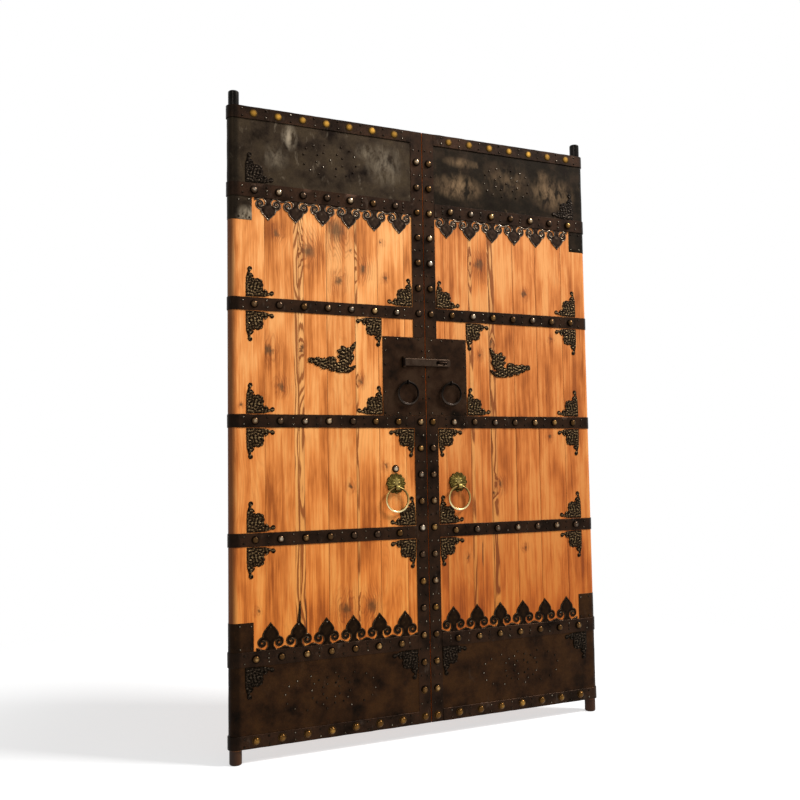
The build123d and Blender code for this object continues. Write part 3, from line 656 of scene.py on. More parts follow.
# knots: X and Z of the middle, and size; cracks: X, lowest, highest, half width; flames: X, half width;
# pith: where the heart of the log lay, from the middle of the board; depth: how far below the face
boardMarks = {
    ("left", "hinge_stile"): dict(
        pith=60, depth=46, tone=1.0, joint=0.12, knots=((75, 470, 6), (20, 1210, 5))),
    ("left", "plank_1"): dict(
        pith=-30, depth=40, tone=0.98, joint=0.12, flames=((228, 12),),
        knots=((150, 1842, 12), (172, 1275, 13), (118, 1405, 18))),
    ("left", "plank_2"): dict(
        pith=-52, depth=34, tone=1.02, flames=((246, 12),), cracks=((258, 350, 520, 2.5),),
        knots=((276, 1782, 24), (246, 1418, 10))),
    ("left", "plank_3"): dict(
        pith=40, depth=60, tone=0.96,
        knots=((384, 1872, 34), (444, 1800, 5), (394, 1676, 15), (433, 900, 8), (415, 452, 22))),
    ("left", "plank_4"): dict(
        pith=-48, depth=30, tone=1.02, flames=((464, 10),),
        knots=((496, 1732, 17), (484, 1305, 10), (520, 458, 20))),
    ("left", "plank_5"): dict(
        pith=20, depth=55, tone=1.0, joint=0.2, knots=((575, 1840, 6), (590, 1700, 7), (580, 980, 7))),
    ("left", "meeting_stile"): dict(pith=0, depth=50, tone=0.97, joint=0.15, knots=((690, 1100, 6),)),
    ("right", "hinge_stile"): dict(
        pith=-60, depth=46, tone=0.84, joint=0.15, knots=((1450, 1650, 6), (1460, 700, 6))),
    ("right", "plank_1"): dict(
        pith=24, depth=42, tone=0.85, joint=0.2, knots=((1330, 1090, 7), (1350, 1500, 6))),
    ("right", "plank_2"): dict(pith=0, depth=50, tone=0.86, knots=((1225, 1680, 9), (1200, 640, 6))),
    ("right", "plank_3"): dict(
        pith=-51, depth=30, tone=0.86, flames=((1063, 17),),
        knots=((1059, 1468, 9), (1064, 1414, 10), (1090, 898, 12), (1058, 860, 8))),
    ("right", "plank_4"): dict(
        pith=-40, depth=32, tone=0.86, flames=((1049, 4), (966, 10)), cracks=((1003, 560, 690, 2.2),),
        knots=((1010, 1785, 20), (1005, 1420, 9))),
    ("right", "plank_5"): dict(
        pith=-20, depth=50, tone=0.84, joint=0.2, knots=((915, 1120, 6), (930, 620, 6))),
    ("right", "meeting_stile"): dict(pith=0, depth=50, tone=0.88, joint=0.15, knots=((820, 1700, 6),)),
}
rightStain = {"warmth": 0.92, "low": "#dac08e"}        # the right leaf took a redder stain and darkens more towards the ground
pine = {}
for number, (key, marks) in enumerate(boardMarks.items()):
    stain = rightStain if key[0] == "right" else {}
    pine[key] = pineMaterial(f"OiledPine_{key[0]}_{key[1]}", 31 + 7 * number, *boardEdges[key], **marks,
                             **stain)
battenPine = pineMaterial("SawnBattenPine", 311, -200.0, 3600.0, pith=-900, depth=120, tone=0.8, lying=True)
print("wood finishes ready")

plankShape = {"ease": 0.9, "hollow": 0.5, "across": 15, "along": 116}


# front: Y = face + hollow x ripple, pulled back at both long edges by a quarter round; then sides and back
def plankShell(xLow, xHigh, seed):
    p = plankShape
    ends = np.array([0, 0.25, 0.6, 1.0])
    u = np.concatenate([p["ease"] * ends / (xHigh - xLow), np.linspace(0, 1, p["across"])[1:-1],
                        1 - p["ease"] * ends[::-1] / (xHigh - xLow)])
    x = xLow + (xHigh - xLow) * u
    z = np.linspace(0, leafTop, p["along"])
    gx, gz = np.meshgrid(x, z)
    edge = np.minimum(gx - xLow, xHigh - gx)
    quarter = p["ease"] * (1 - np.sqrt(np.maximum(0, 1 - (1 - edge / p["ease"]) ** 2)))
    drop = np.where(edge < p["ease"], quarter, 0)
    wave = p["hollow"] * (0.5 + 0.5 * softNoise(gx, gz * 0.12, seed, 70.0))
    front = np.stack([gx, faceY + drop + wave, gz], -1)
    back = np.stack([np.broadcast_to([xHigh, xLow], (len(z), 2)), np.full((len(z), 2), halfBoard),
                     np.repeat(z[:, None], 2, 1)], -1)
    return shellOf(np.concatenate([front, back], 1), cappedFaces(len(z), len(x) + 2))


for side in ("left", "right"):
    for k in range(1, 6):
        part = f"plank_{k}"
        board = plankShell(*boardEdges[side, part], 40 + k + (10 if side == "right" else 0))
        makePiece(f"{side}PlankBoard{k}", board, pine[side, part], side, replaces=[f"{side}_{part}"],
                  sharpDegrees=50)
    for spot in nodes[f"{side}_meeting_stile"].material_slots:
        spot.material = pine[side, "meeting_stile"]
    for spot in nodes[f"{side}_back_battens"].material_slots:
        spot.material = battenPine

stileShape = {"arcSteps": 30, "rows": 60, "pinSides": 40, "coreSides": 32, "easeSteps": 6,
              "lowPinR": 22.0, "topCoreR": 17.8, "topPinR": 20.0, "pinEase": 6.0}


# outline points from the front run, round the hinge edge, along the back run
def halfRound(r, xFront, xBack, steps, frontSteps=2, backSteps=2):
    a = np.linspace(0, np.pi, steps)
    front = np.stack([np.linspace(xFront, 0, frontSteps, endpoint=False), np.full(frontSteps, -r)], -1)
    arc = np.stack([-r * np.sin(a), -r * np.cos(a)], -1)
    back = np.stack([np.linspace(0, xBack, backSteps + 1)[1:], np.full(backSteps, r)], -1)
    return np.concatenate([front, arc, back])


pinLow = float(nodeBox("left_hinge_stile")[0][2])
pinHigh = float(nodeBox("left_pin_sleeve")[1][2])


# the half-round outline carried up the leaf, with a turned lower pin and the turned core of the upper one
def hingeStileShell():
    s = stileShape
    stileEdge = boardEdges["left", "hinge_stile"][1]
    outline = halfRound(halfBoard, stileEdge, stileEdge, s["arcSteps"], 8, 4)[::-1]
    body = sweptUp(outline, np.linspace(0, leafTop, s["rows"]), np.zeros(s["rows"]))
    t = np.linspace(0, np.pi / 2, s["easeSteps"])
    inward, down = s["pinEase"] * (1 - np.cos(t)), s["pinEase"] * np.sin(t)
    low = turned(np.concatenate([s["lowPinR"] - inward[::-1], [s["lowPinR"]]]),
                 np.concatenate([pinLow + s["pinEase"] - down[::-1], [0.5]]), s["pinSides"])
    core = turned([s["topCoreR"], s["topCoreR"]], [leafTop - 0.5, pinHigh - 2.4], s["coreSides"])
    return joinShells([body, low, core])


# cup over the upper pin: outside wall, eased crown, slightly domed top
def sleeveShell():
    s = stileShape
    t = np.linspace(0, np.pi / 2, 8)
    radii = np.concatenate([[s["topPinR"]] * 2, s["topPinR"] - s["pinEase"] * (1 - np.cos(t)), [8.0, 1.0]])
    places = np.concatenate([[leafTop, leafTop + 30], pinHigh - 0.6 - s["pinEase"] + s["pinEase"] * np.sin(t),
                             [pinHigh - 0.2, pinHigh]])
    return turned(radii, places, s["pinSides"])


stile, sleeve = hingeStileShell(), sleeveShell()
for side in ("left", "right"):
    makePiece(f"{side}HingeStileRound", forSide(stile, side), pine[side, "hinge_stile"], side,
              replaces=[f"{side}_hinge_stile"])
    makePiece(f"{side}PivotSleeve", forSide(sleeve, side), sleeveIron, side,
              replaces=[f"{side}_pin_sleeve"])
print("boards done")


# iron bent round the hinge edge

wrapShape = {"arcSteps": 22, "backSteps": 5, "ease": 0.7, "columnStep": 14.0, "rowStep": 14.0}


# two runs and a half round, outside and inside, carried up; the outside is dented inwards by soft ripples,
# and both edges are eased
def wrapShell(zLow, zHigh, rIn, thick, xFront, xBack, dent, seed, ragged=0.0):
    w = wrapShape
    frontSteps = max(3, int(xFront / w["columnStep"]))
    outer = halfRound(rIn + thick, xFront, xBack, w["arcSteps"], frontSteps, w["backSteps"])
    inner = halfRound(rIn, xFront, xBack, w["arcSteps"], frontSteps, w["backSteps"])
    rows = max(4, int((zHigh - zLow) / w["rowStep"]) + 1)
    z = np.concatenate([[zLow, zLow + w["ease"]], np.linspace(zLow, zHigh, rows)[1:-1],
                        [zHigh - w["ease"], zHigh]])
    away = outer - inner
    away /= np.linalg.norm(away, axis=1, keepdims=True)
    run = np.concatenate([[0], np.cumsum(np.linalg.norm(np.diff(outer, axis=0), axis=1))])
    gs, gz = np.meshgrid(run, z)
    soft = 0.5 + 0.5 * softNoise(gs, gz, seed, 90.0)
    fine = 0.5 + 0.5 * softNoise(gs, gz, seed + 1, 34.0)
    inset = dent * soft + dent * 0.4 * fine
    inset[0] += w["ease"] * 0.8
    inset[-1] += w["ease"] * 0.8
    shift = np.zeros_like(gz)
    shift[:2] = ragged * softNoise(gs[:2], 0 * gz[:2], seed + 2, 60.0)
    shift[-2:] = ragged * softNoise(gs[-2:], 0 * gz[-2:], seed + 3, 60.0)
    flat = np.zeros_like(gz)
    outside = np.stack([outer[:, 0] - away[:, 0] * inset, outer[:, 1] - away[:, 1] * inset, gz + shift], -1)
    inside = np.stack([inner[:, 0] + flat, inner[:, 1] + flat, gz + shift], -1)
    points = np.concatenate([outside[:, ::-1], inside], 1)
    count, total = len(outer), 2 * len(outer)
    i = np.arange(count - 1)
    capLow = np.stack([i, i + 1, total - 2 - i, total - 1 - i], -1)
    top = (len(z) - 1) * total
    faces = [gridQuads(len(z), total, closed=True), capLow[:, ::-1], capLow + top]
    return shellOf(points, faces)


# each strap that runs round the hinge edge, with the seed of its ripples
strapNodes = {"top_edge_strap": 5, "top_sheet_strap": 6, "upper_strap": 7, "middle_strap": 8,
              "lower_strap": 9, "bottom_sheet_strap": 10, "bottom_edge_strap": 11}
for part, seed in strapNodes.items():
    low, high = nodeBox(f"left_{part}")
    rIn = -float(low[1]) - strapThick
    for side in ("left", "right"):
        strap = wrapShell(low[2], high[2], rIn, strapThick, strapEnd, wrapBack, 0.5,
                          seed + (30 if side == "right" else 0), 0.5)
        makePiece(f"{side}{part.title().replace('_', '')}", forSide(strap, side), strapIron, side,
                  replaces=[f"{side}_{part}"])


# flat bar: an eased front of X and Z points dented by ripples, with sides going straight back
def barShell(xLow, xHigh, zLow, zHigh, yBack, thick, seed, ease=0.8, step=12.0, dent=0.4):
    x = np.concatenate([[xLow, xLow + ease], np.arange(xLow + step, xHigh - step / 2, step),
                        [xHigh - ease, xHigh]])
    z = np.concatenate([[zLow, zLow + ease], np.arange(zLow + step, zHigh - step / 2, step),
                        [zHigh - ease, zHigh]])
    gx, gz = np.meshgrid(x, z)
    edge = np.minimum(np.minimum(gx - xLow, xHigh - gx), np.minimum(gz - zLow, zHigh - gz))
    eased = np.clip(ease - edge, 0, ease) * 0.9
    y = yBack - thick + eased + dent * (0.5 + 0.5 * softNoise(gx, gz, seed, 80.0))
    front = np.stack([gx, y, gz], -1).reshape(-1, 3)
    rows, columns = gx.shape
    quads = gridQuads(rows, columns)
    grid = np.arange(rows * columns).reshape(rows, columns)
    rim = np.concatenate([grid[0], grid[1:, -1], grid[-1, -2::-1], grid[-2:0:-1, 0]])
    back = front[rim].copy()
    back[:, 1] = yBack
    behind = np.arange(len(rim)) + rows * columns
    walls = np.stack([rim, behind, np.roll(behind, -1), np.roll(rim, -1)], -1)
    return shellOf(np.concatenate([front, back]), [quads, walls, behind[::-1][None]])


lockLow, lockHigh = nodeBox("left_lock_plate")
meetingStrapLow = nodeBox("left_meeting_strap")[0]
for side in ("left", "right"):
    bars = [barShell(meetingStrapLow[0], leafEnd, lockHigh[2] + 0.5, leafTop, faceY, strapThick, 61),
            barShell(meetingStrapLow[0], leafEnd, 0.0, lockLow[2] - 0.5, faceY, strapThick, 62)]
    makePiece(f"{side}MeetingStrap", forSide(joinShells(bars), side), strapIron, side,
              replaces=[f"{side}_meeting_strap"])
    plate = barShell(lockLow[0], leafEnd, lockLow[2], lockHigh[2], faceY, strapThick,
                     63 if side == "left" else 64, ease=1.2, step=11.0, dent=0.7)
    makePiece(f"{side}LockPlate", forSide(plate, side), plateIron, side, replaces=[f"{side}_lock_plate"])
print("straps done")


# sheets with their cut fringes

# spike: the second lobe of the lower left sheet runs up into a long point
fringeShape = {"thick": 3.0, "lobes": 6, "dropDown": 83.0, "riseUp": 97.0,
               "tabWide": 60.0, "tabGap": 9.0, "tabDrop": 86.0, "tabRise": 101.0, "spike": {1: 168.0}}
lobePitch = (strapEnd - fringeShape["tabWide"] - fringeShape["tabGap"]) / fringeShape["lobes"]
lobeStart = fringeShape["tabWide"] + fringeShape["tabGap"] + lobePitch / 2
topSheetLow = float(nodeBox("left_top_sheet_strap")[0][2])
lowSheetHigh = float(nodeBox("left_bottom_sheet_strap")[1][2])

# heights are shares of the rise of the lobe, the rest millimetres
lobeOutline = {"height": [0.16, 0.30, 0.40, 0.50, 0.60, 0.70, 0.80, 0.88, 0.95, 1.0],
               "half": [11.0, 14.0, 25.0, 31.0, 30.0, 25.0, 17.0, 9.5, 4.5, 0.6],
               "neckHeight": [-8.0, 3.0, 14.0, 30.0], "neckHalf": [30.0, 20.0, 12.0, 13.0],
               "curlX": 30.0, "curlUp": 0.27, "curlR": 15.5, "curlEye": 5.0,
               "curlFrom": 132, "curlTurn": 400, "curlWide": 7.4, "curlTip": 5.2}


# a cloud-head lobe: a pointed leaf on a flared neck, half width read off the outline at each height, and
# on each side a volute whose radius shrinks as it turns, ending in a round eye
def lobeField(rise, spike=0.0):
    o = lobeOutline
    t = np.linspace(0, 1, 54)
    a = np.radians(o["curlFrom"] - o["curlTurn"] * t)
    r = o["curlR"] + (o["curlEye"] - o["curlR"]) * t
    curl = np.stack([o["curlX"] + r * np.cos(a), o["curlUp"] * rise + r * np.sin(a),
                     o["curlWide"] + (o["curlTip"] - o["curlWide"]) * t], -1)
    strokes = [curl * np.array([s, 1, 1]) for s in (-1, 1)]
    if spike:
        strokes.append(np.stack([6 * t, rise * 0.8 + (spike - rise * 0.8) * t,
                                 np.maximum(7.5 * (1 - t) ** 0.7, 0.8)], -1))
    drawn = strokeField(strokes)

    def field(x, z):
        leaf = np.abs(x) - np.interp(z, np.array(o["height"]) * rise, o["half"], left=-40, right=-40)
        neck = np.abs(x) - np.interp(z, o["neckHeight"], o["neckHalf"], left=-40, right=-40)
        return np.minimum(np.minimum(leaf, neck) * 0.85, drawn(x, z))
    return field


# the row of lobes as one cut plate, hanging where way is -1 and standing where it is 1, tied together by a
# low wavy band
def fringeShell(edge, rise, way, spikes):
    lobes = []
    for k in range(fringeShape["lobes"]):
        spike = spikes.get(k, 0.0)
        field = lobeField(rise, spike)
        middle = lobeStart + k * lobePitch

        def cut(x, z, field=field, middle=middle):
            local = (z - edge) * way
            wave = np.abs(np.sin(np.pi * (x - lobeStart) / lobePitch)) ** 8
            band = np.maximum(local - (2.5 + 9.0 * wave), -9 - local)
            return np.minimum(field(x - middle, local), band)

        low, high = sorted([edge - 8 * way, edge + way * (max(rise, spike) + 3)])
        lobes.append(cutPlate(cut, (middle - lobePitch / 2, low), (middle + lobePitch / 2 - 0.01, high),
                              lobePitch / 64, faceY, fringeShape["thick"], rimRelief))
    return joinShells(lobes)


# height of a lobe: a beaded rim just inside the cut edge, a shallow field and a ridge along the middle
def rimRelief(x, z, d):
    rim = 0.62 * np.exp(-((d + 2.0) / 1.3) ** 2)
    ridge = 0.2 * np.clip((-d - 9) / 6, 0, 1)
    return np.clip(-d / 1.0, 0, 1) * np.clip(0.3 + rim + ridge + 0.12 * softNoise(x, z, 9, 14.0), 0, 1)


# a sheet wrapped round the hinge edge with its tab, and its fringe
def sheetShells(which, side):
    f = fringeShape
    seed = 80 + 9 * (which == "top") + 3 * (side == "right")
    if which == "top":
        low, high, tabLow, tabHigh = topSheetLow, leafTop, topSheetLow - f["tabDrop"], topSheetLow + 4
        cut = fringeShell(topSheetLow, f["dropDown"], -1, {})
    else:
        low, high, tabLow, tabHigh = 0, lowSheetHigh, lowSheetHigh - 4, lowSheetHigh + f["tabRise"]
        cut = fringeShell(lowSheetHigh, f["riseUp"], 1, f["spike"] if side == "left" else {})
    body = wrapShell(low, high, halfBoard, sheetThick, strapEnd, wrapBack, 0.9, seed)
    tab = wrapShell(tabLow, tabHigh, halfBoard, sheetThick, f["tabWide"], wrapBack, 0.5, seed + 1)
    return joinShells([body, tab]), cut


for side in ("left", "right"):
    for which, finish in (("top", topSheetIron[side]), ("bottom", lowSheetIron)):
        plate, cut = sheetShells(which, side)
        node = f"{side}_{which}_sheet"
        makePiece(f"{side}{which.capitalize()}Sheet", forSide(plate, side), finish, side, replaces=[node])
        makePiece(f"{side}{which.capitalize()}Fringe", forSide(cut, side), fringeIron[which], side,
                  replaces=[node])
print("sheets and fringes done")


# studs, discs and nails

# upperCount and lowerCount: studs up the meeting strap above and below the lock plate
studShape = {"r": 16.0, "h": 11.0, "perRow": 7, "firstX": 67.0, "upperCount": 7, "lowerCount": 12,
             "lowRow": 25.0, "discDrop": 24.0, "discR": 16.0, "discH": 1.9,
             "gilded": 120, "halfGilded": 340,        # heights below which studs kept their gilding
             "loneR": 15.0, "loneH": 9.0, "loneRise": 57}
meetingX = float(meetingStrapLow[0] + leafEnd) / 2
studPitch = (meetingX - studShape["firstX"]) / studShape["perRow"]
strapMiddles = {part: float(sum(corner[2] for corner in nodeBox(f"left_{part}")) / 2)
                for part in strapNodes}


# unit of the studs: a low flange, then a quarter ellipse up to a small flat pole; Y runs outwards
def dome(r, h, segments=16, rings=5, flange=0.12):
    t = np.linspace(0, np.pi / 2, rings + 1)[:-1]
    radii = np.concatenate([[r, r], r * (1 - flange) * np.cos(t) ** 0.85, [r * 0.12]])
    places = np.concatenate([[0, 0.08 * h], 0.1 * h + 0.9 * h * np.sin(t), [h]])
    # worn climbs to 1 at the pole, so the crown takes the pale top colour: rubbed metal, and partly a painted
    # highlight there
    worn = np.concatenate([[0.0, 0.08], 0.05 + 0.95 * np.sin(t) ** 2, [1.0]])
    shell = turned(radii, -places, segments, axis="y", worn=worn)
    return {**shell, "faces": [f[:, ::-1] for f in shell["faces"]]}


# copies of one dome at X, Y, Z rows, each a little larger or smaller, worn and warm by its own amount
def scatterDomes(places, r, h, seed, segments=16, rings=5, jitter=0.0, wornLow=0.25, wornHigh=1.0):
    rng = np.random.default_rng(seed)
    unit = dome(r, h, segments, rings)
    places = np.asarray(places, float)
    count, size = len(places), len(unit["points"])
    grow = rng.uniform(0.93, 1.0, (count, 1, 1))
    shift = np.concatenate([rng.uniform(-jitter, jitter, (count, 1, 1)), np.zeros((count, 1, 1)),
                            rng.uniform(-jitter, jitter, (count, 1, 1))], -1)
    points = unit["points"][None] * grow + places[:, None] + shift
    faces = [(f[None] + (np.arange(count) * size)[:, None, None]).reshape(-1, f.shape[1])
             for f in unit["faces"]]
    worn = unit["values"]["worn"][None] * rng.uniform(wornLow, wornHigh, (count, 1))
    warm = np.repeat(rng.uniform(0, 1, (count, 1)) ** 1.4, size, 1)
    return shellOf(points, faces, worn=worn, warm=warm)


overSheet, overFace = sheetY - strapThick, strapY
rowPlaces = [("top_sheet_strap", overSheet), ("upper_strap", overFace), ("middle_strap", overFace),
             ("lower_strap", overFace), ("bottom_sheet_strap", overSheet)]
rowX = [studShape["firstX"] + k * studPitch for k in range(studShape["perRow"])]
discZ = leafTop - studShape["discDrop"]
upStep = (discZ - strapMiddles["upper_strap"]) / studShape["upperCount"]
downStep = (strapMiddles["middle_strap"] - studShape["lowRow"]) / (studShape["lowerCount"] - 1)
studPlaces = [(x, y, strapMiddles[part]) for part, y in rowPlaces for x in rowX]
studPlaces += [(x, overSheet, studShape["lowRow"]) for x in rowX]
studPlaces += [(meetingX, overFace, strapMiddles["upper_strap"] + k * upStep)
               for k in range(studShape["upperCount"])]
studPlaces += [(meetingX, overFace, studShape["lowRow"] + k * downStep)
               for k in range(studShape["lowerCount"])]
discPlaces = [(x, overSheet, discZ) for x in rowX]

nailShape = {"r": 4.2, "h": 2.6}


# small nails: columns between the studs of every strap, pairs up the meeting strap, and the rims of the
# plates
def nailPlaces():
    places = []
    f = fringeShape
    for part, y in rowPlaces + [("top_edge_strap", overSheet), ("bottom_edge_strap", overSheet)]:
        z = strapMiddles[part]
        for k, stud in enumerate(rowX):
            x = stud + 0.5 * studPitch - (14 if k == len(rowX) - 1 else 0)
            places += [(x, y, z + 13), (x + 1, y, z - 12)]
            if part in ("top_sheet_strap", "bottom_sheet_strap") and k % 2 == 0:
                places.append((x, y, z + 0.5))
        places += [(24, y, z + 13), (25, y, z - 13)]
    for k in range(-1, studShape["upperCount"]):
        z = strapMiddles["upper_strap"] + (k + 0.5) * upStep
        places += [(meetingX - 13, overFace, z), (meetingX + 13, overFace, z + 1)]
    for k in range(studShape["lowerCount"] - 1):
        z = studShape["lowRow"] + (k + 0.5) * downStep
        places += [(meetingX - 13, overFace, z), (meetingX + 12, overFace, z - 1)]
    x, low, high = lockLow[0], lockLow[2], lockHigh[2]
    wide, tall = leafEnd - x, high - low
    places += [(x + 9, overFace, low + tall * t) for t in (0.035, 0.3, 0.64, 0.82, 0.965)]
    places += [(x + wide * t, overFace, z) for z in (low + 9, high - 9) for t in (0.34, 0.62, 0.86)]
    places += [(leafEnd - 12, overFace, low + tall * t) for t in (0.22, 0.5, 0.74, 0.83)]
    for edge, rise in ((topSheetLow, -f["dropDown"]), (lowSheetHigh, f["riseUp"])):
        for k in range(f["lobes"]):
            x = lobeStart + k * lobePitch
            places += [(x, sheetY, edge + rise * 0.83), (x - 31, sheetY, edge + rise * 0.34),
                       (x + 31, sheetY, edge + rise * 0.34)]
    for low, high in ((topSheetLow - f["tabDrop"], topSheetLow), (lowSheetHigh, lowSheetHigh + f["tabRise"])):
        places += [(x, sheetY, z) for x in (10, 50) for z in (low + 10, high - 12)]
    return places


# rings of nails on the two sheets: count, half width, half height, X and Z of the middle
rosettes = ((1, 0, 0, 366, 2137), (8, 55, 29, 366, 2137), (14, 106, 59, 366, 2137), (8, 34, 26, 350, 167),
            (14, 74, 48, 350, 167), (16, 175, 62, 350, 165))


# a squared oval: the cosine and the sine of each angle, both to the power 0.75 with their signs kept
def rosettePlaces():
    places = []
    for count, wide, tall, middleX, middleZ in rosettes:
        a = np.linspace(0, 2 * np.pi, count, endpoint=False) + 0.35
        x, z = np.cos(a), np.sin(a)
        x, z = np.sign(x) * np.abs(x) ** 0.75, np.sign(z) * np.abs(z) ** 0.75
        places += list(zip(middleX + wide * x, [sheetY] * count, middleZ + tall * z))
    return places


# the lowest row of studs kept all its gilding and is worn more evenly, and the row above kept most of its
def gildLowRows(heads):
    height, values = heads["points"][:, 2], heads["values"]
    lowest, second = height < studShape["gilded"], height < studShape["halfGilded"]
    values["warm"] = np.where(lowest, 1.0, np.where(second, 0.8, values["warm"]))
    values["worn"] = np.where(lowest, 0.3 + 0.5 * values["worn"], values["worn"])


maskLow, maskHigh = nodeBox("left_knocker_mask")
maskX, maskZ = float(maskLow[0] + maskHigh[0]) / 2, float(maskLow[2] + maskHigh[2]) / 2
for side in ("left", "right"):
    offset = 0 if side == "left" else 5
    heads = scatterDomes(studPlaces, studShape["r"], studShape["h"], 201 + offset, segments=18, rings=6,
                         jitter=0.8, wornLow=0.42, wornHigh=0.85)
    gildLowRows(heads)
    makePiece(f"{side}StudHeads", forSide(heads, side), studBrass, side, replaces=[f"{side}_iron_studs"])
    discs = scatterDomes(discPlaces, studShape["discR"], studShape["discH"], 211 + offset, segments=18,
                         rings=4, jitter=1.0, wornLow=0.5)
    makePiece(f"{side}BrassDiscs", forSide(discs, side), discBrass, side, replaces=[f"{side}_brass_discs"])
    if side == "left":                       # the one stud above the left knocker
        lone = scatterDomes([(maskX, faceY, maskZ + studShape["loneRise"])], studShape["loneR"],
                            studShape["loneH"], 220, segments=20, rings=6, wornLow=0.75, wornHigh=0.85)
        makePiece("leftLoneStud", lone, studBrass, side, replaces=["left_brass_discs"])
    nails = scatterDomes(nailPlaces() + rosettePlaces(), nailShape["r"], nailShape["h"], 231 + offset,
                         segments=9, rings=3, jitter=1.6, wornLow=0.2)
    makePiece(f"{side}NailHeads", forSide(nails, side), nailIron, side)
print("studs and nails done")


# pierced corner brackets

bracketShape = {"wide": 104.0, "tall": 108.0, "thick": 3.4, "inset": 36.0, "gap": 2.0, "cell": 1.7,
                "strapTall": 48.0}


# two rails with curled ends and, between them, curls that turn away from the diagonal, each with its twin
def bracketStrokes():
    half = [scroll(5, 5, 2, 60, 0.0, 0.1, 10.0, 11.0), scroll(60, 8, 6, 30, 0.0, 1.6, 13.0, 6.0),
            np.array([[91.0, 13.5, 6.6], [92.5, 15.0, 6.8]]), scroll(70, 11, 70, 16, 2.0, 10.0, 7.0, 5.0),
            scroll(8, 8, 36, 60, -0.5, -9.0, 8.0, 5.4), scroll(24, 9, 62, 52, -1.0, -9.5, 7.4, 5.0),
            scroll(42, 8, 75, 42, -2.0, -12.0, 7.0, 4.8), scroll(30, 27, 38, 46, -0.8, -11.0, 7.2, 5.0),
            scroll(40, 33, -15, 36, 2.0, 12.0, 7.0, 5.0), scroll(58, 8, 112, 28, 2.0, 14.0, 6.6, 5.0),
            scroll(16, 14, 20, 34, 2.0, 13.0, 6.6, 4.6), scroll(47, 44, 12, 24, 4.0, 20.0, 7.0, 5.4),
            scroll(74, 8, 70, 18, 2.0, 12.0, 6.6, 5.0), scroll(20, 34, 75, 26, -3.0, -14.0, 6.4, 4.6)]
    twins = [np.stack([s[:, 1], s[:, 0] * bracketShape["tall"] / bracketShape["wide"], s[:, 2]], -1)
             for s in half]
    stem = scroll(3, 3, 45, 70, 0.0, 0.0, 9.0, 7.0)
    return [s * np.array([1.06, 1.07, 1.2]) for s in half + twins + [stem]]


curls = strokeField(bracketStrokes())


# the corner body: a square leafy patch with wavy sides, pierced where two crossed waves rise together
def bracketField(x, z):
    patch = np.maximum(x - 63 - 3.5 * np.cos(z * 0.42), z - 67 - 3.5 * np.cos(x * 0.42))
    patch = np.maximum(patch, np.maximum(x + z - 112, 1.5 - np.minimum(x, z)))
    waves = softNoise(x, z, 43, 11.0, 14) + softNoise(z, x, 43, 11.0, 14)
    pierced = np.maximum(patch, (waves - 0.42) * 4.0)
    return np.minimum(curls(x, z), pierced)


# height of the filigree: rounded bars with a fine uneven ripple, as cast leaves have
def leafRelief(x, z, d):
    ripple = 0.9 * softNoise(x, z, 47, 8.0, 16)
    return np.clip(np.clip(-d / 2.4, 0, 1) ** 0.7 * (0.5 + ripple), 0, 1)


brackPlate = cutPlate(bracketField, (-1, -1), (112, 118), bracketShape["cell"], 0.0, bracketShape["thick"],
                      leafRelief)
brackPlate["points"][:, 0] = np.clip(brackPlate["points"][:, 0], 0, 110)
brackPlate["points"][:, 2] = np.clip(brackPlate["points"][:, 2], 0, 116)


# a flat piece drawn from its corner, turned left or down by mirroring, and set on the boards
def placed(shell, x, z, flipX=False, flipZ=False, y=0.0):
    points = shell["points"].copy()
    points[:, 0] = x + (-1 if flipX else 1) * points[:, 0]
    points[:, 2] = z + (-1 if flipZ else 1) * points[:, 2]
    points[:, 1] += faceY + y
    faces = shell["faces"] if flipX == flipZ else [f[:, ::-1] for f in shell["faces"]]
    return {**shell, "points": points, "faces": faces}


# twelve brackets, above and below the three straps across the boards
def bracketSet():
    b = bracketShape
    stepZ = b["strapTall"] / 2 + b["gap"]
    lockX, sideX = lockLow[0] - b["gap"], meetingStrapLow[0] - b["gap"]
    out = []
    for part in ("upper_strap", "middle_strap", "lower_strap"):
        for way in (1, -1):
            beside = (part, way) in (("upper_strap", -1), ("middle_strap", 1))
            z = strapMiddles[part] + way * stepZ
            out.append(placed(brackPlate, b["inset"], z, False, way < 0))
            out.append(placed(brackPlate, lockX if beside else sideX, z, True, way < 0))
    return joinShells(out)


brackets = bracketSet()
# the same leafwork on the sheets: X, Z, turned left, turned down
sheetSpots = ((bracketShape["inset"], strapMiddles["top_sheet_strap"] + 28, False, False),
              (bracketShape["inset"] - 8, lowSheetHigh - 54, False, True),
              (meetingStrapLow[0] - 2, lowSheetHigh - 54, True, True))
sheetCorners = joinShells([placed(brackPlate, *spot, y=sheetY - faceY) for spot in sheetSpots])
print("bracket faces", sum(len(f) for f in brackets["faces"]))

# winged ornament: beak or tail toward the hinge side, raised wing toward the seam

# feathers: X and Z of the middle, half length, half width and slant in degrees
wingShape = {
    "long": 206.0, "grow": 1.07, "cell": 1.6, "thick": 5.0,
    "feathers": ((-84, 1, 23, 10, -4), (-60, -3, 24, 16, -12), (-36, -9, 27, 20, -22), (-8, 0, 22, 18, -40),
                 (-6, -16, 28, 20, -14), (20, -22, 30, 19, -12), (46, -28, 28, 13, 6), (70, -22, 16, 7, 40),
                 (38, -4, 32, 19, 66), (46, 26, 30, 23, 58), (26, 34, 17, 10, 160), (24, 16, 14, 8, 170),
                 (36, 46, 14, 9, 130), (68, 46, 32, 9, 62), (66, 18, 18, 10, 96), (58, 4, 16, 9, 110))}
wingLow, wingHigh = nodeBox("left_winged_ornament")


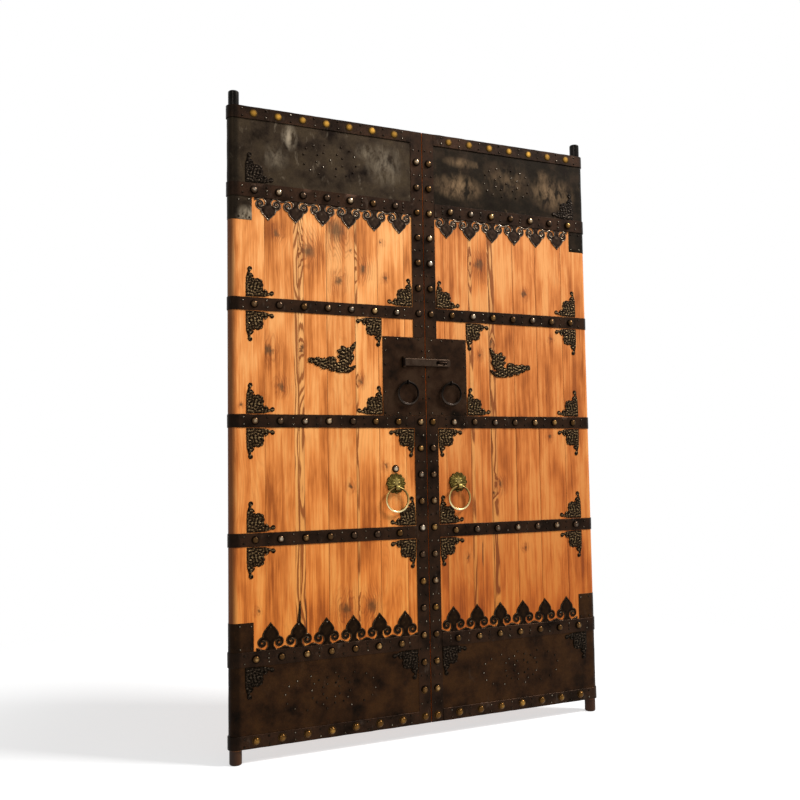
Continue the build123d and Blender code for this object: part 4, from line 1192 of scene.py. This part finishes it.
# leaf-shaped feathers laid over one another; inside a feather abs(across) / half width + (along / half
# length) squared is below 1
def wingField(x, z):
    x, z = x / wingShape["grow"], z / wingShape["grow"]
    best = np.full(np.shape(x), 1e9)
    for middleX, middleZ, long, wide, slant in wingShape["feathers"]:
        c, s = math.cos(math.radians(slant)), math.sin(math.radians(slant))
        along = (x - middleX) * c + (z - middleZ) * s
        over = -(x - middleX) * s + (z - middleZ) * c
        notch = 1 + 0.12 * np.cos(along * 0.75)
        size = np.abs(over) / (wide * notch) + (along / long) ** 2
        best = np.minimum(best, (size - 1) * wide * 0.75)
    return best


# height of a feather: domed, with uneven barbs
def featherRelief(x, z, d):
    barbs = 0.9 * softNoise(x, z, 53, 9.0, 16)
    return np.clip(np.clip(-d / 3.0, 0, 1) ** 0.6 * (0.5 + barbs), 0, 1)


wingX = (wingLow[0] + wingHigh[0]) / 2 + 1.0
wingZ = wingLow[2] + 0.15 * wingShape["long"]
wingPlate = cutPlate(wingField, (-108, -60), (108, 82), wingShape["cell"], 0.0, wingShape["thick"],
                     featherRelief)
wing = placed(wingPlate, wingX, wingZ)
wing["points"][:, 0] = np.clip(wing["points"][:, 0], wingLow[0], wingHigh[0])
wing["points"][:, 2] = np.clip(wing["points"][:, 2], wingLow[2] - 12, wingHigh[2] + 6)
for side in ("left", "right"):
    makePiece(f"{side}CornerFiligree", forSide(brackets, side), filigreeIron, side,
              replaces=[f"{side}_corner_brackets"])
    makePiece(f"{side}SheetFiligree", forSide(sheetCorners, side), sheetFiligree, side)
    makePiece(f"{side}WingedFiligree", forSide(wing, side), filigreeIron, side,
              replaces=[f"{side}_winged_ornament"])
print("filigree done")


# hasp, its hinge and its staple

haspLow, haspHigh = nodeBox("hasp")
hingeLow, hingeHigh = nodeBox("hasp_hinge")
stapleLow, stapleHigh = nodeBox("hasp_staple")
haspShape = {"thick": 5.0, "knuckleR": 6.0, "pinR": 3.0, "slotW": 48.0, "slotH": 13.0, "slotX": 164.0,
             "lug": 6.0, "rod": 6.0, "stapleBend": 6.0}
hingeX = float(hingeLow[0] + hingeHigh[0]) / 2
haspZ = float(haspLow[2] + haspHigh[2]) / 2
haspH = float(haspHigh[2] - haspLow[2])
haspTip = float(haspHigh[0])
knuckleY = strapY - 0.5 - haspShape["knuckleR"]


# distance to an oblong with rounded corners, negative inside
def roundedBox(x, z, cx, cz, w, h, r):
    dx, dz = np.abs(x - cx) - w / 2 + r, np.abs(z - cz) - h / 2 + r
    return np.hypot(np.maximum(dx, 0), np.maximum(dz, 0)) + np.minimum(np.maximum(dx, dz), 0) - r


# the bar less its slot: the larger of the distance to the bar and minus the distance to the slot
def haspField(x, z):
    bar = roundedBox(x, z, (hingeX + haspTip) / 2, haspZ, haspTip - hingeX, haspH, 9.0)
    slot = roundedBox(x, z, hingeX + haspShape["slotX"], haspZ, haspShape["slotW"], haspShape["slotH"], 5.5)
    return np.maximum(bar, -slot)


# the rim of the bar slopes off over its outer 1.8 mm
def haspRelief(x, z, d):
    return 0.72 + 0.28 * np.clip(-d / 1.8, 0, 1) ** 0.6


bar = cutPlate(haspField, (hingeX - 1, haspZ - haspH / 2 - 1), (haspTip + 1, haspZ + haspH / 2 + 1), 1.5,
               knuckleY + haspShape["thick"] / 2, haspShape["thick"], haspRelief)
bar["values"] = {"worn": 0.25 + 0.4 * bar["values"]["raised"]}
knuckle = barrel(haspShape["knuckleR"], haspShape["pinR"] + 0.1, haspH, 28, "z")
knuckle = moveShell(knuckle, hingeX, knuckleY, haspZ)
makePiece("haspBar", joinShells([bar, knuckle]), haspIron, body="hasp", replaces=["hasp"])


# one lug: an eased drum on the pin with a foot that runs back to the plate
def lugShell(z):
    r, half = haspShape["knuckleR"], haspShape["lug"] / 2
    drum = turned([r - 1, r, r, r - 1], [-half, 1 - half, half - 1, half], 24)
    outline = [(hingeX - r, strapY), (hingeX - r, knuckleY), (hingeX + r, knuckleY), (hingeX + r, strapY)]
    foot = sweptUp(outline, [z - half, z + half], [0, 0])
    return joinShells([moveShell(drum, hingeX, knuckleY, z), foot])


hingeHalf = float(hingeHigh[2] - hingeLow[2]) / 2
pin = turned([2.2, haspShape["pinR"], haspShape["pinR"], 2.2],
             [-hingeHalf, -hingeHalf + 0.8, hingeHalf - 0.8, hingeHalf], 18)
pin = moveShell(pin, hingeX, knuckleY, haspZ)
lugs = [lugShell(haspZ + s * (hingeHalf - haspShape["lug"] / 2)) for s in (-1, 1)]
makePiece("haspHingeLugs", joinShells([pin] + lugs), plateIron, "left", replaces=["hasp_hinge"])


# straight leg, quarter turn, cross piece, quarter turn, straight leg, drawn in X and Y
def staplePath():
    half, r = haspShape["rod"] / 2, haspShape["stapleBend"]
    x0, x1, out = stapleLow[0] + half, stapleHigh[0] - half, stapleLow[1] + half
    a = np.linspace(0, np.pi / 2, 8)
    left = np.stack([x0 + r - r * np.cos(a), out + r - r * np.sin(a)], -1)
    right = np.stack([x1 - r + r * np.sin(a), out + r - r * np.cos(a)], -1)
    path = np.concatenate([[(x0, strapY + 1), (x0, out + r + 4)], left, [((x0 + x1) / 2, out)], right,
                           [(x1, out + r + 4), (x1, strapY + 1)]])
    return np.concatenate([path, np.full((len(path), 1), haspZ)], 1)


stapleShell = tube(staplePath(), haspShape["rod"] / 2, 12)
stapleShell["values"] = {"worn": np.full(len(stapleShell["points"]), 0.5)}
makePiece("haspStapleLoop", stapleShell, haspIron, "right", replaces=["hasp_staple"])


# pull rings and their eyes

pullShape = {"meanR": 42.0, "rod": 9.2, "eyeR": 7.0, "eyeRod": 4.0, "eyeW": 7.0, "rootR": 8.0}
eyeY = strapY - pullShape["eyeR"] - pullShape["eyeRod"] / 2 - 1.0


# a bored eye on a low round root
def pullEye(x, z):
    p = pullShape
    eye = barrel(p["eyeR"] + p["eyeRod"] / 2, p["eyeR"] - p["eyeRod"] / 2, p["eyeW"], 30)
    root = turned([p["rootR"], p["rootR"], p["rootR"] - 1, 1.5], [0, -0.7, -1.4, -1.8], 20, "y")
    root["faces"] = [f[:, ::-1] for f in root["faces"]]
    shell = joinShells([moveShell(eye, x, eyeY, z), moveShell(root, x, strapY, z)])
    shell["values"] = {"worn": np.full(len(shell["points"]), 0.45)}
    return shell


for side, seed in (("left", 301), ("right", 302)):
    low, high = nodeBox(f"{side}_pull_eye")
    x, z = float(low[0] + high[0]) / 2, float(low[2] + high[2]) / 2
    makePiece(f"{side}PullEyeLoop", pullEye(x, z), ringIron, side, replaces=[f"{side}_pull_eye"])
    ring = moveShell(forgedRing(pullShape["meanR"], pullShape["rod"], seed), x, eyeY, z - pullShape["meanR"])
    makePiece(f"{side}PullRingIron", ring, ringIron, body=f"{side}_pull_ring",
              replaces=[f"{side}_pull_ring"])


# knockers

# relief: how far the beast head stands out; sink: how far it is let into the plate
knockShape = {"maskR": 41.0, "meanR": 45.5, "rod": 9.0, "snoutR": 11.0, "bore": 5.6, "snoutW": 17.0,
              "drop": 15.0, "thick": 3.0, "relief": 13.0, "sink": 2.35, "cell": 1.15}
snoutOut = knockShape["thick"] + knockShape["snoutR"] + 0.5
snoutZ = maskZ - knockShape["drop"]


# a soft hill, one at its middle
def bulge(x, z, cx, cz, wide, tall):
    return np.exp(-(((x - cx) / wide) ** 2 + ((z - cz) / tall) ** 2))


# a round plate with twelve flame tufts, broader across the brow than under the jaw
def maskField(x, z):
    a = np.arctan2(z, x)
    tufts = 0.86 + 0.13 * np.abs(np.cos(6 * a + 0.5 * np.sin(a)))
    jaw = 1 - 0.06 * np.clip(-z / 40, 0, 1)
    return np.hypot(x, z) - knockShape["maskR"] * tufts * jaw


# beast head: brow ridge, two round eyes under it, cheeks, jaw and a fringe of tufts; 0 to 1 of the relief
def maskHeight(x, z, d):
    side = np.abs(x)
    a, r = np.arctan2(z, x), np.hypot(x, z)
    tufts = 0.16 + 0.22 * np.abs(np.cos(11 * a + 0.12 * r)) * np.clip((r - 20) / 8, 0, 1)
    face = 0.52 * bulge(x, z, 0, -2, 24, 25)
    brow = 0.24 * bulge(side, z - 0.2 * side, 12, 10, 8, 4.2) + 0.3 * bulge(x, z, 0, 17, 7, 8)
    eyes = 0.34 * bulge(side, z, 12, 3, 4.4, 3.8) - 0.15 * bulge(side, z, 12, -3.5, 6, 2.2)
    nose = 0.42 * bulge(x, z, 0, -5, 6, 12)
    cheeks = 0.26 * bulge(side, z, 16, -12, 7, 6)
    mouth = -0.2 * bulge(x, z, 0, -27, 14, 2.4) + 0.18 * bulge(x, z, 0, -32, 10, 3)
    ears = 0.22 * bulge(side, z, 25, 20, 5, 6)
    total = np.clip(tufts + face + brow + eyes + nose + cheeks + mouth + ears, 0, 1)
    return total * np.clip(-d / 2.0 + 0.25, 0, 1) ** 0.6


maskPlate = cutPlate(maskField, (-44, -42), (44, 42), knockShape["cell"], 0.0, knockShape["relief"],
                     maskHeight)
depth = maskPlate["points"][:, 1]
maskPlate["points"][:, 1] = np.where(depth < -0.01, depth + knockShape["sink"], 0)
drum = barrel(knockShape["snoutR"], knockShape["bore"], knockShape["snoutW"], 32)
drum = moveShell(drum, 0, -snoutOut, -knockShape["drop"])
drum["values"] = {"raised": np.full(len(drum["points"]), 0.75)}
maskShell = moveShell(joinShells([maskPlate, drum]), maskX, faceY, maskZ)
knockRing = moveShell(forgedRing(knockShape["meanR"], knockShape["rod"], 311), maskX, faceY - snoutOut,
                      snoutZ - knockShape["meanR"])
for side in ("left", "right"):
    makePiece(f"{side}BeastMask", forSide(maskShell, side), knockerBrass, side,
              replaces=[f"{side}_knocker_mask"])
    makePiece(f"{side}KnockerRingBrass", forSide(knockRing, side), ringBrass, body=f"{side}_knocker_ring",
              replaces=[f"{side}_knocker_ring"])
print("hardware done")


# floor, light and camera

stageSetup = {
    "floorZ": pinLow * 0.001, "floorHalf": 14.0,       # metres
    "floorTone": "#cdcdcd", "floorLift": 0.52,
    "fadeAbout": (0.75, 0.2, 0), "fadeFrom": 1.2, "fadeTo": 3.0,
    "worldLevel": 0.38, "aim": (0.75, 0, 1.15)}
# the main soft light, and a small weak one high on the left that domes and rings give back as a pale glint
lampSetup = {"softKey": {"place": (9.5, -6.5, 11.5), "size": 3.2, "watts": 2520.0},
             "glintLamp": {"place": (-3.5, -5.5, 5.5), "size": 0.5, "watts": 75.0}}


# one for rays that show a surface as it is, from the camera, a mirror or a glass, and zero for light that
# only falls on other surfaces
def seenDirectly(tree):
    rays = addNode(tree, "LightPath").outputs
    direct = addNode(tree, "Math", {0: rays["Is Camera Ray"], 1: rays["Is Glossy Ray"]}, operation="MAXIMUM")
    return addNode(tree, "Math", {0: direct, 1: rays["Is Transmission Ray"]}, operation="MAXIMUM")


# matt pale floor, lifted a little for direct rays, that turns into the white of the background away from
# the object
def makeFloor():
    s = stageSetup
    mesh = bpy.data.meshes.new("paleFloor")
    h, z = s["floorHalf"], s["floorZ"]
    mesh.from_pydata([(-h, -h, z), (h, -h, z), (h, h, z), (-h, h, z)], [], [(0, 1, 2, 3)])
    floor = bpy.data.objects.new("paleFloor", mesh)
    bpy.context.scene.collection.objects.link(floor)
    material = bpy.data.materials.new("PaleStudioFloor")
    material.use_nodes = True
    tree = material.node_tree
    tree.nodes.clear()
    direct = seenDirectly(tree)
    lift = addNode(tree, "Math", {0: direct, 1: s["floorLift"]}, operation="MULTIPLY")
    glow = addNode(tree, "Emission", {"Color": (1, 1, 1, 1), "Strength": lift})
    matt = addNode(tree, "BsdfDiffuse", {"Color": s["floorTone"]})
    both = addNode(tree, "AddShader", {0: matt, 1: glow})
    place = addNode(tree, "TexCoord").outputs["Object"]
    away = addNode(tree, "VectorMath", {0: place, 1: s["fadeAbout"]}, operation="SUBTRACT")
    away = addNode(tree, "VectorMath", {0: away}, operation="LENGTH").outputs["Value"]
    fade = addNode(tree, "MapRange", {"Value": away, 1: s["fadeFrom"], 2: s["fadeTo"], 3: 0.0, 4: 1.0},
                   interpolation_type="SMOOTHSTEP")
    fade = addNode(tree, "Math", {0: fade, 1: direct}, operation="MULTIPLY")
    white = addNode(tree, "Emission", {"Color": (1, 1, 1, 1), "Strength": 1.0})
    mixed = addNode(tree, "MixShader", {0: fade, 1: both, 2: white})
    addNode(tree, "OutputMaterial", {"Surface": mixed})
    mesh.materials.append(material)


# white to look at, greyer as a light
def makeWorld():
    world = bpy.data.worlds.new("studioWhite")
    bpy.context.scene.world = world
    world.use_nodes = True
    tree = world.node_tree
    tree.nodes.clear()
    direct = seenDirectly(tree)
    level = addNode(tree, "MapRange", {"Value": direct, 1: 0.0, 2: 1.0, 3: stageSetup["worldLevel"], 4: 1.0})
    sky = addNode(tree, "Background", {"Color": (1, 1, 1, 1), "Strength": level})
    addNode(tree, "OutputWorld", {"Surface": sky})


# a square lamp at a place in metres, turned so that it shines at the aim
def addLamp(name, place, aim, size, watts):
    lamp = bpy.data.lights.new(name, "AREA")
    lamp.shape = "SQUARE"
    lamp.size = size
    lamp.energy = watts
    holder = bpy.data.objects.new(name, lamp)
    holder.location = place
    holder.rotation_euler = (Vector(aim) - Vector(place)).to_track_quat("-Z", "Y").to_euler()
    bpy.context.scene.collection.objects.link(holder)


makeFloor()
makeWorld()
for name, l in lampSetup.items():
    addLamp(name, l["place"], stageSetup["aim"], l["size"], l["watts"])

# place in metres and angles in degrees, fitted to the photo; the focal length is in pixels of the photo
cameraSetup = {"place": (-0.9033, -3.2914, 0.9801), "yaw": 25.36, "pitch": 3.97, "roll": -0.89,
               "focusPixels": 939.9, "photoPixels": 800.0, "sensor": 36.0}


# looks along +Y turned by yaw toward +X, tipped up by pitch, then rolled about its own line of sight
def makeCamera():
    c = cameraSetup
    yaw, pitch, roll = (math.radians(c[k]) for k in ("yaw", "pitch", "roll"))
    ahead = Vector((math.sin(yaw) * math.cos(pitch), math.cos(yaw) * math.cos(pitch), math.sin(pitch)))
    flat = Vector((math.cos(yaw), -math.sin(yaw), 0))
    rise = flat.cross(ahead)
    right = flat * math.cos(roll) + rise * math.sin(roll)
    up = rise * math.cos(roll) - flat * math.sin(roll)
    data = bpy.data.cameras.new("photoCamera")
    data.sensor_width = c["sensor"]
    data.lens = c["focusPixels"] / c["photoPixels"] * c["sensor"]
    data.clip_end = 100.0
    camera = bpy.data.objects.new("photoCamera", data)
    matrix = Matrix((right, up, -ahead)).transposed().to_4x4()
    matrix.translation = Vector(c["place"])
    camera.matrix_world = matrix
    bpy.context.scene.collection.objects.link(camera)
    bpy.context.scene.camera = camera


makeCamera()
bpy.context.scene.view_settings.view_transform = "Standard"
print("stage done")
